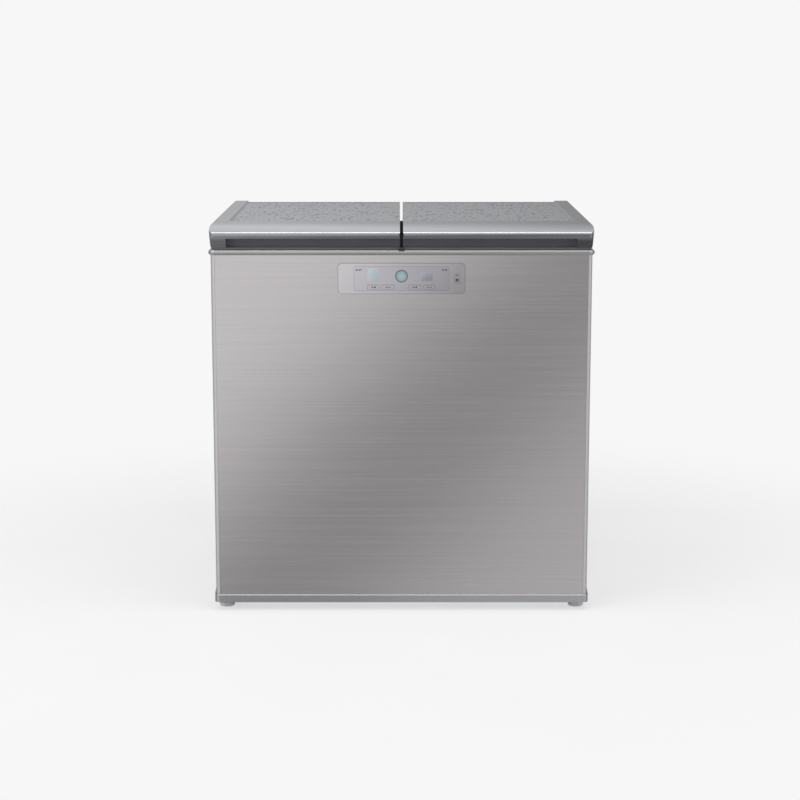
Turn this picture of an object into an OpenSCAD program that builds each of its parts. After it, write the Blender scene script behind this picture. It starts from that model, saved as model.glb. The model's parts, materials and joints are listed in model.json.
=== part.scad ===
// Chest kimchi refrigerator with two top lids, seen from the front along +Y.
// X runs to the viewer's right, Z up, and the origin is the middle of the footprint on the floor.

/* [Cabinet] */
// Width over the side panels
cabinet_w = 880; // [840:10:940]
// Depth from the front panel's face to the back panel's face
cabinet_d = 723; // [700:1:760]
// Height of the front panel, from the base strip to the rim bead
panel_h = 807; // [780:1:850]
// Thickness of the outer sheets
sheet_t = 1; // [0.8:0.1:1.5]
// Radius of the side panel's fold at the front corner
corner_r = 9; // [6:0.5:9]
// Width of the side panel's wrap onto the front
wrap_w = 9.4; // [9.4:0.1:14]
// Depth of the sheets' inner return flanges
return_d = 12; // [8:1:16]

/* [Base] */
// Clearance from the floor to the base strip
foot_h = 19.5; // [16:0.5:24]
// Height of the base strip
base_h = 19.5; // [17:0.5:26]
// How far the base strip stands proud of the panels
base_out = 3; // [2:0.5:4]
// Bevel along the strip's upper front edge
base_bevel = 2.4; // [1:0.1:2.8]
// How far the strip's top lip reaches in under the panels
base_lip = 7; // [6:0.5:9]
// Height of the side skirts' flared part above the strip
skirt_h = 12; // [8:1:20]
// Thickness of the base pan
pan_t = 1.5; // [1:0.1:2]
// Radius of a front foot's pad
foot_r = 18.25; // [15:0.25:20]
// Distance of a foot's axis from the cabinet's side
foot_in = 22.4; // [21:0.1:30]
// Distance of a foot's axis behind the front panel
foot_back = 45; // [35:1:60]
// Radius of the foot's threaded stem
stem_r = 5; // [4:0.5:6]
// Radius of a rear roller
roller_r = 20; // [18:1:24]
// Width of a rear roller's tread
roller_w = 20; // [16:1:26]
// Distance of a roller's middle from the cabinet's side
roller_in = 44; // [40:1:60]
// Distance of a roller's axle in front of the back panel
roller_fwd = 60; // [50:1:80]
// Radius of a roller axle
axle_r = 4; // [3:0.5:5]

/* [Walls] */
// Foam wall at each side, from the cabinet's face to the liner
side_wall = 65; // [55:1:75]
// Foam wall between the two compartments
mid_wall = 70; // [60:1:80]
// Foam wall at the front
front_wall = 70; // [60:1:80]
// Foam wall at the back
rear_wall = 80; // [70:1:90]
// Foam under the compartments
floor_wall = 75; // [60:1:90]
// Corner radius of a compartment
mouth_r = 30; // [20:1:40]
// Thickness of a liner
liner_t = 1; // [0.8:0.1:1.5]
// Height of the machine room
machine_h = 250; // [240:1:280]
// Depth of the machine room
machine_d = 230; // [220:1:250]
// Foam between the machine room and the compartments
machine_wall = 60; // [50:1:70]
// Radius of an evaporator tube
evap_r = 4; // [3:0.5:5]
// Number of turns of an evaporator
evap_turns = 6; // [4:1:7]
// Distance from one turn to the next
evap_pitch = 50; // [35:1:60]
// Corner radius of an evaporator turn, at the tube's middle
evap_bend = 30; // [20:1:34]
// Height of the lowest turn above the stepped floor
evap_rise = 70; // [50:1:90]

/* [Rim] */
// Height of the half-round rim bead
bead_h = 12.4; // [10:0.2:14]
// How far the bead stands proud of the panels
bead_out = 5; // [4:0.5:6]
// Outer corner radius of the bead in plan
bead_corner = 14; // [14:1:20]
// Depth of the gasket's land below the bead's top
land_drop = 8.4; // [7:0.1:9]
// Thickness of the rim's deck
rim_t = 8; // [6:0.5:9]
// Width of the upstand round the land
upstand_w = 8; // [7:0.5:10]
// Depth of the lip that covers the liner's top edge
lip_h = 14; // [10:1:18]
// Thickness of that lip
lip_t = 2; // [1.5:0.1:3]

/* [Lids] */
// Gap between the two lids
lid_gap = 7.3; // [5:0.1:10]
// Running gap under a lid
lid_lift = 0.3; // [0.3:0.1:0.6]
// Height of a lid from its underside to its panel
lid_h = 51.3; // [48:0.1:56]
// Height of the raised band above the panel
band_h = 3.6; // [2:0.1:5]
// How far a lid's nose level stands proud of the cabinet's side
lid_out = 3; // [2:0.5:4.5]
// How much the lid's side draws in towards its foot
lid_taper = 4.5; // [3:0.5:6]
// Rounding of the band's outer edge
edge_r = 5; // [3:1:14]
// Width of the raised band at the side
band_w = 39; // [30:1:50]
// Depth of the smooth strip behind the nose
strip_d = 128; // [100:1:150]
// Length over which the top falls to the nose
crown_l = 70; // [50:1:90]
// Fall of the top to the nose
crown_h = 12.5; // [10:0.5:15]
// Radius of the nose
nose_r = 8; // [6:0.5:9]
// Angle at which a lid's front draws in below the nose
tuck_a = 16; // [8:1:20]
// Corner radius of a lid in plan
lid_corner = 14; // [10:1:18]
// Thickness of the dark flange under a lid
flange_h = 4.3; // [3:0.1:6]
// Height of the finger recess
recess_h = 21; // [18:0.5:23]
// Depth of the finger recess
recess_d = 30; // [24:1:36]
// Thickness of a lid's moulded skin
lid_skin = 3; // [2.5:0.1:3.5]
// Thickness of the patterned panel
panel_t = 3; // [2:0.1:4]
// How far a lid's plug reaches into the mouth
plug_drop = 28.7; // [20:0.1:34]
// Clearance between the plug and the rim's lip
plug_gap = 6; // [5:0.5:10]
// Thickness of the plug's wall
plug_t = 2.5; // [2:0.1:3]
// Width of the lid's gasket
gasket_w = 14; // [10:1:16]

/* [Hinges] */
// Distance of the hinge axis behind the back panel
hinge_back = 10; // [10:0.5:14]
// Height of the hinge axis above a lid's underside
hinge_up = 13.3; // [12:0.1:16]
// Gap between a lid's back and the back panel's face
lid_back = 3; // [2.5:0.5:4]
// Outer radius of a hinge knuckle
barrel_r = 8; // [6.5:0.5:8]
// Radius of a hinge pin
pin_r = 3; // [2:0.5:4]
// Length of a hinge over its knuckles
hinge_w = 50; // [40:1:60]
// Distance of a hinge's middle from a lid's two sides
hinge_in = 75; // [60:1:100]
// Radial running clearance of pins and axles
fit_gap = 0.05; // [0.02:0.01:0.08]

/* [Controls] */
// Width of the control bezel
bezel_w = 292; // [280:1:310]
// Height of the control bezel
bezel_h = 69.6; // [66:0.2:76]
// Corner radius of the bezel
bezel_r = 9.4; // [6:0.2:12]
// How far the bezel stands proud of the front panel
bezel_out = 2.4; // [1.5:0.1:3]
// Distance from the top of the front panel to the bezel
bezel_drop = 19; // [15:1:40]
// Width of the display window
window_w = 220; // [210:1:230]
// Height of the display window
window_h = 56.6; // [52:0.2:60]
// Radius of the round button
button_r = 12.2; // [10:0.1:12.5]
// Outer radius of the ring round it
ring_r = 14.9; // [14:0.1:16]
// Height of the round button above the window's middle
button_up = 5.5; // [4:0.1:8]
// Width of a key
key_w = 27; // [22:0.5:30]
// Height of a key
key_h = 9; // [7:0.5:10]
// Distance of the keys below the window's middle
key_down = 20; // [19.5:0.1:21]
// Place of the inner pair of keys, from the middle
key_in = 30.7; // [30:0.1:33]
// Place of the outer pair of keys, from the middle
key_out = 64.3; // [62:0.1:68]
// Width of the lock key
lock_w = 13; // [10:0.5:16]
// Height of the lock key
lock_h = 22; // [16:0.5:26]
// Travel of a key or button
travel = 0.8; // [0.5:0.1:1]

/* [Machine room] */
// Radius of the compressor's can
can_r = 74; // [68:1:78]
// Height of the compressor's can
can_h = 150; // [140:1:165]
// Height of the rubber mounts under the compressor
mount_h = 14; // [12:1:18]
// Radius of the fan
fan_r = 76; // [68:1:80]
// Number of fan blades
fan_blades = 5; // [3:1:7]
// Number of fins on the condenser
fin_count = 18; // [12:1:20]
// Radius of the condenser's tube
tube_r = 4; // [3:0.5:5]
// Number of louvres in one column of the cover
louvre_rows = 9; // [6:1:10]
// Number of columns of louvres
louvre_columns = 4; // [2:1:5]
// Height from one louvre to the next
louvre_pitch = 18; // [16:1:20]
// Radius of the cord's grommet hole
gland_r = 9; // [7:0.5:11]

/* [Hidden] */
$fn = 48;

// A cut runs this far past the face that it opens
past = 1;
// Working clearance between pieces that only lie near each other
slack = 0.3;

// Levels and outer faces of the cabinet
total_d = cabinet_d + bead_out + hinge_back + barrel_r;
front_y = -total_d / 2 + bead_out;
back_y = front_y + cabinet_d;
side_x = cabinet_w / 2;
base_top = foot_h + base_h;
bead_z = base_top + panel_h;
rim_z = bead_z + bead_h;
land_z = rim_z - land_drop;
deck_z = land_z - rim_t;
foam_top = deck_z - liner_t;

// Compartments
mouth_x0 = mid_wall / 2;
mouth_x1 = side_x - side_wall;
mouth_y0 = front_y + front_wall;
mouth_y1 = back_y - rear_wall;
floor_z = base_top + floor_wall;
machine_top = base_top + machine_h;
machine_y = back_y - machine_d;
step_z = machine_top + machine_wall;
step_y = machine_y - machine_wall;

// Lids
gap_x = lid_gap / 2;
lid_side = side_x + lid_out;
lid_front = front_y - bead_out;
lid_rear = back_y - lid_back;
lid_z = rim_z + lid_lift;
flange_z = lid_z + flange_h;
recess_z = flange_z + recess_h;
lid_panel_z = lid_z + lid_h;
band_z = lid_panel_z + band_h;
band_x = lid_side - band_w;
strip_y = lid_front + strip_d;
recess_x0 = gap_x + lid_skin;
recess_x1 = band_x;
recess_y = lid_front + recess_d;
cavity_top = lid_panel_z - panel_t - lid_skin;
taper_z = band_z - edge_r - 8;
foot_x = lid_side - lid_taper;
inner_x = foot_x - lid_skin;
plug_z = lid_z - plug_drop;

// Arc of the lid's top towards the nose, and the nose's own circle tangent to it
crown_y = lid_front + crown_l;
nose_y = lid_front + nose_r;
nose_run = crown_y - nose_y;
crown_r = (nose_run * nose_run + crown_h * crown_h) / (2 * crown_h);
crown_z = band_z - crown_r;
nose_z = crown_z + sqrt(pow(crown_r - nose_r, 2) - nose_run * nose_run);
tuck_y = nose_y - nose_r * cos(tuck_a);
tuck_z = nose_z - nose_r * sin(tuck_a);
tuck = tuck_y - lid_front + (tuck_z - flange_z) * tan(tuck_a);
tangent_y = crown_y - nose_run * crown_r / (crown_r - nose_r);

// Hinges
hinge_y = back_y + hinge_back;
hinge_z = lid_z + hinge_up;
hinge_xs = [gap_x + hinge_in, lid_side - hinge_in];
arm_t = 2;
arm_up = 28;
arm_down = 6;
knuckle_up = 20;
bracket_t = 3;
bracket_h = 80;
bracket_drop = 16;

// Controls
bezel_z = bead_z - bezel_drop - bezel_h / 2;
bezel_y = front_y - bezel_out;
window_y = bezel_y + 0.4;
window_t = 3;
lock_x = (window_w + bezel_w) / 4;
lock_clear = 1.5;
pocket_w = 2 * (lock_x - lock_w / 2 - lock_clear);
pocket_h = window_h + 6;
pocket_d = 34;
housing_t = 2;
board_y = front_y + 17;
key_gap = 0.3;
key_out_y = 0.5;

// Machine room
can_x = -side_x + 170;
can_y = back_y - machine_d / 2;
can_z = base_top + mount_h;
ear_t = 3;
ear_x = can_r * 0.95;
ear_y = can_r * 0.8;
fan_x = 40;
fan_y = can_y;
fan_z = base_top + machine_h / 2;
fin_gap = 40;
fin_w = 66;
fin_front = 46;
fin_x0 = fan_x + fin_gap;
fin_x1 = fin_x0 + fin_w;
fin_y0 = machine_y + fin_front;
fin_pitch = 8;
fin_y1 = fin_y0 + (fin_count - 1) * fin_pitch;
fin_z0 = base_top;
fin_h = 176;
tube_step = 38;
tube_rows = 4;
tube_up = 30;
tube_edge = 14;
tube_z0 = fin_z0 + tube_up;
tube_xs = [fin_x0 + tube_edge, fin_x1 - tube_edge];
tray_gap = 60;
tray_edge = 40;
tray_x0 = fin_x1 + tray_gap;
tray_x1 = side_x - roller_in - tray_edge;
tray_front = 20;
tray_back = 30;
tray_y0 = machine_y + tray_front;
tray_y1 = back_y - tray_back;
tray_z0 = base_top;
tray_h = 150;
tray_t = 2;
board_gap = 8;
board_t = 2;
drier_x = -60;

// Shared shapes

module rounded_box(x0, x1, y0, y1, r) {
    translate([x0 + r, y0]) square([x1 - x0 - 2 * r, y1 - y0]);
    translate([x0, y0 + r]) square([x1 - x0, y1 - y0 - 2 * r]);
    for (x = [x0 + r, x1 - r], y = [y0 + r, y1 - r])
        translate([x, y]) circle(r);
}

module rounded_block(x0, x1, y0, y1, z0, z1, r) {
    translate([0, 0, z0]) linear_extrude(z1 - z0) rounded_box(x0, x1, y0, y1, r);
}

module block(x0, x1, y0, y1, z0, z1) {
    translate([x0, y0, z0]) cube([x1 - x0, y1 - y0, z1 - z0]);
}

// A flat outline drawn as seen from the front, standing from y0 back to y1
module front_plate(y0, y1) {
    translate([0, y1, 0]) rotate([90, 0, 0]) linear_extrude(y1 - y0) children();
}

// An outline drawn as seen from the right side (Y across, Z up), running from x0 to x1
module side_run(x0, x1) {
    translate([x0, 0, 0]) rotate([90, 0, 90]) linear_extrude(x1 - x0) children();
}

module rod(x0, x1, r) {
    translate([x0, 0, 0]) rotate([0, 90, 0]) cylinder(h = x1 - x0, r = r);
}

module both_sides() {
    children();
    mirror([1, 0, 0]) children();
}

// Tube from point to point with a ball at each bend
module pipe(points, r) {
    for (i = [0 : len(points) - 2]) {
        run = points[i + 1] - points[i];
        length = norm(run);
        translate(points[i])
            rotate([0, acos(run.z / length), atan2(run.y, run.x)]) cylinder(h = length, r = r);
        if (i > 0) translate(points[i]) sphere(r);
    }
}

// Cabinet shell

module cabinet_outline(inset) {
    r = corner_r - inset;
    x = side_x - inset;
    y0 = front_y + inset;
    translate([-x + r, y0]) square([2 * (x - r), back_y - y0]);
    translate([-x, y0 + r]) square([2 * x, back_y - y0 - r]);
    for (s = [-1, 1]) translate([s * (x - r), y0 + r]) circle(r);
}

module side_panel() {
    x0 = side_x - wrap_w;
    flange = 16;
    translate([0, 0, base_top]) linear_extrude(panel_h) {
        intersection() {
            difference() {
                cabinet_outline(0);
                cabinet_outline(sheet_t);
            }
            translate([x0, front_y - past]) square([wrap_w + past, cabinet_d + past]);
        }
    }
    translate([0, 0, base_top]) linear_extrude(foam_top - base_top) {
        translate([x0, front_y]) square([sheet_t, return_d]);
        translate([side_x - flange, back_y - 2 * sheet_t]) square([flange, sheet_t]);
    }
}

module side_panel_right() {
    color("silver") side_panel();
}

module side_panel_left() {
    color("silver") mirror([1, 0, 0]) side_panel();
}

module front_panel() {
    x1 = side_x - wrap_w - slack;
    color("darkgray") difference() {
        union() {
            block(-x1, x1, front_y, front_y + sheet_t, base_top, bead_z);
            both_sides()
                block(x1 - sheet_t, x1, front_y, front_y + return_d, base_top, foam_top);
        }
        front_plate(front_y - past, front_y + return_d)
            rounded_box(-pocket_w / 2, pocket_w / 2, bezel_z - pocket_h / 2, bezel_z + pocket_h / 2, 6);
        translate([lock_x, 0, bezel_z])
            block(-lock_w / 2 - 2, lock_w / 2 + 2, front_y - past, front_y + return_d,
                -lock_h / 2 - 2, lock_h / 2 + 2);
    }
}

module back_panel() {
    x1 = side_x - sheet_t - slack;
    z0 = machine_top + slack;
    rib_d = 4;
    rib_count = 4;
    rib_pitch = (bead_z - z0) / (rib_count + 1);
    color("gainsboro") difference() {
        union() {
            block(-x1, x1, back_y - sheet_t, back_y, z0, bead_z - slack);
            for (i = [1 : rib_count])
                translate([0, 0, z0 + i * rib_pitch]) side_run(-x1 + 60, x1 - 60)
                    back_rib(back_y, rib_d);
        }
        for (i = [1 : rib_count])
            translate([0, 0, z0 + i * rib_pitch]) side_run(-x1 + 60 + sheet_t, x1 - 60 - sheet_t)
                back_rib(back_y - sheet_t, rib_d);
    }
}

// Pressed stiffening rib, seen end on
module back_rib(y, d) {
    polygon([[y - past, -12], [y, -12], [y + d, -8], [y + d, 8], [y, 12], [y - past, 12]]);
}

module base_trim() {
    x1 = side_x + base_out;
    y0 = front_y - base_out;
    y1 = back_y - roller_fwd - roller_r - 30;
    lip = 2;
    wall = base_out + 1.5;
    r = corner_r + base_out;
    color("dimgray") difference() {
        union() {
            translate([0, 0, foot_h]) linear_extrude(base_h - slack) strip_outline(x1, y0, y1, r);
            both_sides() front_plate(y0 + r, y1)
                polygon([
                    [side_x + slack, base_top - slack - past], [x1, base_top - slack - past],
                    [x1, base_top], [side_x + slack + 0.6, base_top + skirt_h],
                    [side_x + slack, base_top + skirt_h]
                ]);
        }
        translate([0, 0, foot_h - past]) linear_extrude(base_h + past - lip - slack)
            strip_outline(x1 - wall, y0 + wall, y1 + past, r - wall + 1);
        block(-side_x + base_lip, side_x - base_lip, front_y + base_lip, y1 + past,
            base_top - lip - 2 * slack, base_top);
        side_run(-x1 - past, x1 + past)
            polygon([
                [y0 - past, base_top - slack - base_bevel - past], [y0 - past, base_top],
                [y0 + base_bevel + slack, base_top]
            ]);
    }
}

module strip_outline(x1, y0, y1, r) {
    translate([-x1 + r, y0]) square([2 * (x1 - r), y1 - y0]);
    translate([-x1, y0 + r]) square([2 * x1, y1 - y0 - r]);
    for (s = [-1, 1]) translate([s * (x1 - r), y0 + r]) circle(r);
}

// Base, feet and rollers

module base_frame() {
    x1 = side_x - base_lip - slack;
    y0 = front_y + base_lip + slack;
    y1 = back_y - sheet_t - slack;
    z1 = base_top;
    boss_r = stem_r + 7;
    rib_w = 30;
    color("slategray") difference() {
        union() {
            block(-x1, x1, y0, y1, z1 - pan_t, z1);
            difference() {
                block(-x1, x1, y0, y1, foot_h + 1.5, z1);
                block(-x1 + pan_t, x1 - pan_t, y0 + pan_t, y1 - pan_t, foot_h, z1);
            }
            both_sides() translate([side_x - foot_in, front_y + foot_back, foot_h + 1.5])
                cylinder(h = z1 - foot_h - 1.5, r = boss_r);
            for (x = [-side_x / 3, side_x / 3])
                difference() {
                    block(x - rib_w / 2, x + rib_w / 2, y0 + pan_t, y1 - pan_t, z1 - 10, z1);
                    block(x - rib_w / 2 + pan_t, x + rib_w / 2 - pan_t, y0, y1, z1 - 11, z1 - pan_t);
                }
        }
        both_sides() {
            translate([side_x - foot_in, front_y + foot_back, foot_h])
                cylinder(h = base_h + past, r = stem_r + fit_gap);
            block(side_x - roller_in - roller_w / 2 - 6, side_x - roller_in + roller_w / 2 + 6,
                back_y - roller_fwd - roller_r - 6, back_y - roller_fwd + roller_r + 6,
                foot_h + 8, base_top + past);
        }
    }
}

module front_foot() {
    dome_h = 4;
    pad_h = foot_h - 6;
    dome_r = (foot_r * foot_r + dome_h * dome_h) / (2 * dome_h);
    translate([side_x - foot_in, front_y + foot_back, 0]) {
        rotate_extrude() difference() {
            intersection() {
                square([foot_r, pad_h]);
                translate([0, pad_h - dome_r]) circle(dome_r, $fn = 96);
            }
            translate([foot_r, 0]) circle(1.5);
        }
        translate([0, 0, pad_h - 2]) cylinder(h = 5, r = 11, $fn = 6);
        cylinder(h = base_top - 4, r = stem_r);
    }
}

module front_foot_right() {
    color("whitesmoke") front_foot();
}

module front_foot_left() {
    color("whitesmoke") mirror([1, 0, 0]) front_foot();
}

module rear_roller() {
    hub_w = roller_w + 3;
    translate([side_x - roller_in, back_y - roller_fwd, roller_r]) rotate([0, 90, 0])
        difference() {
            rotate_extrude() {
                difference() {
                    translate([0, -roller_w / 2]) square([roller_r, roller_w]);
                    for (s = [-1, 1]) {
                        translate([roller_r, s * roller_w / 2]) circle(2);
                        translate([11, s * roller_w / 2 - 2]) square([5, 4]);
                    }
                }
                translate([0, -hub_w / 2]) square([8, hub_w]);
            }
            cylinder(h = hub_w + 2, r = axle_r + fit_gap, center = true);
        }
}

module rear_roller_right() {
    color("dimgray") rear_roller();
}

module rear_roller_left() {
    color("dimgray") mirror([1, 0, 0]) rear_roller();
}

module roller_bracket() {
    half = roller_w / 2 + 1.5 + slack;
    cheek_t = 2;
    axle_y = back_y - roller_fwd;
    flange_w = 14;
    top_z = base_top;
    difference() {
        union() {
            for (s = [-1, 1]) {
                x0 = s > 0 ? half : -half - cheek_t;
                side_run(x0, x0 + cheek_t) {
                    translate([axle_y, roller_r]) circle(axle_r + 5);
                    polygon([
                        [axle_y - axle_r - 5, roller_r], [axle_y + axle_r + 5, roller_r],
                        [axle_y + 24, top_z + 2], [axle_y - 24, top_z + 2]
                    ]);
                }
                f0 = s > 0 ? half : -half - flange_w;
                block(f0, f0 + flange_w, axle_y - 24, axle_y + 24, top_z, top_z + 2);
            }
            block(-half - flange_w, half + flange_w, axle_y + 21, axle_y + 24 + 2, top_z, top_z + 2);
            block(-half - flange_w, half + flange_w, axle_y - 24 - 2, axle_y - 21, top_z, top_z + 2);
        }
        translate([0, axle_y, roller_r]) rod(-half - 20, half + 20, axle_r + fit_gap);
    }
}

module roller_brackets() {
    color("lightsteelblue") both_sides()
        translate([side_x - roller_in, 0, 0]) roller_bracket();
}

module roller_axles() {
    half = roller_w / 2 + 1.5 + slack + 2;
    color("silver") both_sides()
        translate([side_x - roller_in, back_y - roller_fwd, roller_r]) {
            rod(-half - 2, half + 2, axle_r);
            rod(half + slack, half + 3, axle_r + 2);
            rod(-half - 3, -half - slack, axle_r + 2);
        }
}

// Foam and liners

module compartment(inset, top) {
    x0 = mouth_x0 + inset;
    x1 = mouth_x1 - inset;
    r = mouth_r - inset;
    rounded_block(x0, x1, mouth_y0 + inset, mouth_y1 - inset, step_z + inset, top, r);
    rounded_block(x0, x1, mouth_y0 + inset, step_y - inset, floor_z + inset, step_z + inset + r, r);
}

module liner() {
    flange = 10;
    difference() {
        union() {
            compartment(0, deck_z);
            rounded_block(mouth_x0 - flange, mouth_x1 + flange, mouth_y0 - flange, mouth_y1 + flange,
                foam_top, deck_z, mouth_r + flange);
        }
        compartment(liner_t, deck_z + past);
    }
}

module liner_right() {
    color("lightgray") liner();
}

module liner_left() {
    color("lightgray") mirror([1, 0, 0]) liner();
}

// Levels and reach of the evaporator's turns round a liner
evap_z0 = step_z + evap_rise;
evap_x0 = mouth_x0 - evap_r - slack;
evap_x1 = mouth_x1 + evap_r + slack;
evap_y0 = mouth_y0 - evap_r - slack;
evap_y1 = mouth_y1 + evap_r + slack;
evap_z1 = evap_z0 + (evap_turns - 1) * evap_pitch;

// One tube that climbs a turn at a time at the back, each riser beside the last
module evaporator() {
    b = evap_bend + evap_r + slack;
    corners = [[evap_x1 - b, evap_y1 - b, 0], [evap_x0 + b, evap_y1 - b, 90],
        [evap_x0 + b, evap_y0 + b, 180], [evap_x1 - b, evap_y0 + b, 270]];
    for (i = [0 : evap_turns - 1]) translate([0, 0, evap_z0 + i * evap_pitch]) {
        for (c = corners)
            translate([c.x, c.y, 0]) rotate([0, 0, c.z])
                rotate_extrude(angle = 90) translate([b, 0]) circle(evap_r);
        pipe([[evap_x0, evap_y0 + b, 0], [evap_x0, evap_y1 - b, 0]], evap_r);
        pipe([[evap_x1, evap_y0 + b, 0], [evap_x1, evap_y1 - b, 0]], evap_r);
        pipe([[evap_x0 + b, evap_y0, 0], [evap_x1 - b, evap_y0, 0]], evap_r);
        if (i < evap_turns - 1) {
            riser_x = evap_x1 - b - 30 - i * 5 * evap_r;
            pipe([[evap_x0 + b, evap_y1, 0], [riser_x, evap_y1, 0], [riser_x, evap_y1, evap_pitch],
                [evap_x1 - b, evap_y1, evap_pitch]], evap_r);
        }
    }
}

module evaporator_right() {
    color("peru") evaporator();
}

module evaporator_left() {
    color("peru") mirror([1, 0, 0]) evaporator();
}

// Sensor held against the outside of a liner's front wall, above the evaporator
sensor_r = 4;
sensor_z = evap_z1 + 40;
sensor_x = (mouth_x0 + mouth_x1) / 2;

module temperature_sensors() {
    color("ivory") both_sides()
        translate([sensor_x, mouth_y0 - sensor_r - slack, sensor_z]) {
            rod(-12, 12, sensor_r);
            translate([12, 0, 0]) sphere(sensor_r);
            rod(-22, -12, sensor_r - 1);
        }
}

module insulation() {
    t = sheet_t;
    notch_x = side_x - wrap_w - 2 * slack - 2 * sheet_t;
    grow = 2 * evap_r + 2 * slack;
    edge = mouth_r + grow;
    color("khaki") difference() {
        block(-side_x + t, side_x - t, front_y + t, back_y - 2 * t, base_top, foam_top);
        both_sides() {
            block(notch_x, side_x, front_y, front_y + return_d + slack, base_top - past, foam_top + past);
            compartment(0, foam_top + past);
            rounded_block(mouth_x0 - grow, mouth_x1 + grow, mouth_y0 - grow, mouth_y1 + grow,
                evap_z0 - grow, evap_z1 + grow, edge);
            block(sensor_x - 24, sensor_x + 18, mouth_y0 - 2 * sensor_r - 2 * slack, mouth_y0 + past,
                sensor_z - 6, sensor_z + 6);
        }
        block(-side_x, side_x, machine_y - sheet_t, back_y, base_top - past, machine_top + sheet_t);
        block(-pocket_w / 2 - slack, pocket_w / 2 + slack, front_y, front_y + pocket_d + slack,
            bezel_z - pocket_h / 2 - slack, bezel_z + pocket_h / 2 + slack);
        block(lock_x - lock_w, lock_x + lock_w, front_y, front_y + 20,
            bezel_z - lock_h / 2 - 4, bezel_z + lock_h / 2 + 4);
    }
}

module machine_deck() {
    x1 = side_x - 2 * sheet_t - slack;
    t = sheet_t;
    color("lightslategray") side_run(-x1, x1)
        polygon([
            [machine_y - t, base_top], [machine_y, base_top], [machine_y, machine_top],
            [back_y - 2 * t - slack, machine_top], [back_y - 2 * t - slack, machine_top + t],
            [machine_y - t, machine_top + t]
        ]);
}

// Moulded rim round the two mouths

module rim_outline(inset) {
    x1 = side_x + bead_out - bead_h / 2 - inset;
    y0 = lid_front + bead_h / 2 + inset;
    y1 = back_y - inset;
    strip_outline(x1, y0, y1, bead_corner - bead_h / 2 - inset / 2);
}

module bead() {
    r = bead_h / 2;
    x = side_x + bead_out - r;
    y = lid_front + r;
    bend = bead_corner - r;
    translate([0, y, bead_z + r]) rod(-x + bend, x - bend, r);
    both_sides() {
        translate([x - bend, y + bend, bead_z + r]) rotate([0, 0, 270])
            rotate_extrude(angle = 90) translate([bend, 0]) circle(r);
        pipe([[x, y + bend, bead_z + r], [x, back_y, bead_z + r]], r);
    }
}

module top_frame() {
    x1 = side_x - sheet_t - slack;
    y0 = front_y + sheet_t + slack;
    y1 = back_y - sheet_t - slack;
    color("dimgray") difference() {
        union() {
            bead();
            translate([0, 0, bead_z + bead_h / 2]) linear_extrude(bead_h / 2) rim_outline(0);
            rounded_block(-x1, x1, y0, y1, deck_z, bead_z + bead_h / 2, corner_r - sheet_t);
            both_sides() rounded_block(mouth_x0 + liner_t + slack, mouth_x1 - liner_t - slack,
                mouth_y0 + liner_t + slack, mouth_y1 - liner_t - slack,
                deck_z - lip_h, deck_z + past, mouth_r - liner_t - slack);
        }
        translate([0, 0, land_z]) linear_extrude(land_drop + past) rim_outline(upstand_w);
        both_sides() rounded_block(mouth_x0 + lip_in, mouth_x1 - lip_in, mouth_y0 + lip_in,
            mouth_y1 - lip_in, deck_z - lip_h - past, land_z + past, mouth_r - lip_in);
    }
}

// The lip's inner face, from the mouth's outline
lip_in = liner_t + slack + lip_t;

// Lids: every module below draws the right-hand lid

module lid_front_view() {
    x_flange = foot_x + lid_taper * flange_h / (taper_z - lid_z);
    polygon([
        [gap_x, flange_z], [x_flange, flange_z], [lid_side, taper_z], [lid_side, band_z - edge_r],
        [lid_side - edge_r, band_z - edge_r], [lid_side - edge_r, band_z], [gap_x, band_z]
    ]);
    translate([lid_side - edge_r, band_z - edge_r]) circle(edge_r, $fn = 96);
}

module lid_side_view() {
    difference() {
        translate([lid_front, flange_z]) square([lid_rear - lid_front, band_z - flange_z]);
        difference() {
            translate([lid_front - past, nose_z]) square([crown_l + past, band_z - nose_z + past]);
            translate([crown_y, crown_z]) circle(crown_r, $fn = 360);
        }
        difference() {
            translate([lid_front - past, nose_z])
                square([tangent_y - lid_front + past, band_z - nose_z + past]);
            translate([nose_y, nose_z]) circle(nose_r, $fn = 96);
        }
        difference() {
            translate([lid_front - past, flange_z - past])
                square([nose_r + tuck + past, nose_z - flange_z + past]);
            translate([nose_y, nose_z]) circle(nose_r, $fn = 96);
            polygon([
                [nose_y, nose_z], [tuck_y, tuck_z], [lid_front + tuck, flange_z],
                [lid_front + tuck, flange_z - 2 * past], [crown_y, flange_z - 2 * past],
                [crown_y, nose_z + past], [nose_y, nose_z + past]
            ]);
        }
        translate([lid_rear, band_z]) rotate(45) square(3, center = true);
    }
}

module lid_plan(inset, front) {
    x0 = gap_x + inset;
    x1 = lid_side - inset;
    y0 = front + inset;
    y1 = lid_rear - inset;
    r = lid_corner - inset;
    difference() {
        union() {
            translate([x0, y0]) square([x1 - x0 - r, y1 - y0]);
            translate([x0, y0 + r]) square([x1 - x0, y1 - y0 - 2 * r]);
            for (y = [y0 + r, y1 - r]) translate([x1 - r, y]) circle(r);
        }
        for (y = [y0, y1]) translate([x0, y]) rotate(45) square(3, center = true);
    }
}

module lid_form() {
    intersection() {
        front_plate(lid_front, lid_rear) lid_front_view();
        side_run(gap_x, lid_side) lid_side_view();
        translate([0, 0, flange_z]) linear_extrude(band_z - flange_z) lid_plan(0, lid_front);
    }
}

// Sunken bed of the patterned panel, with a chamfered way down from the side band
module panel_bed(side_gap) {
    x1 = band_x - side_gap;
    block(gap_x - past, x1, strip_y + side_gap, lid_rear + past, lid_panel_z - panel_t, band_z + past);
    front_plate(strip_y + side_gap, lid_rear + past)
        polygon([[x1 - past, lid_panel_z], [x1, lid_panel_z], [x1 + band_h + past, band_z + past],
            [x1 - past, band_z + past]]);
}

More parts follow.
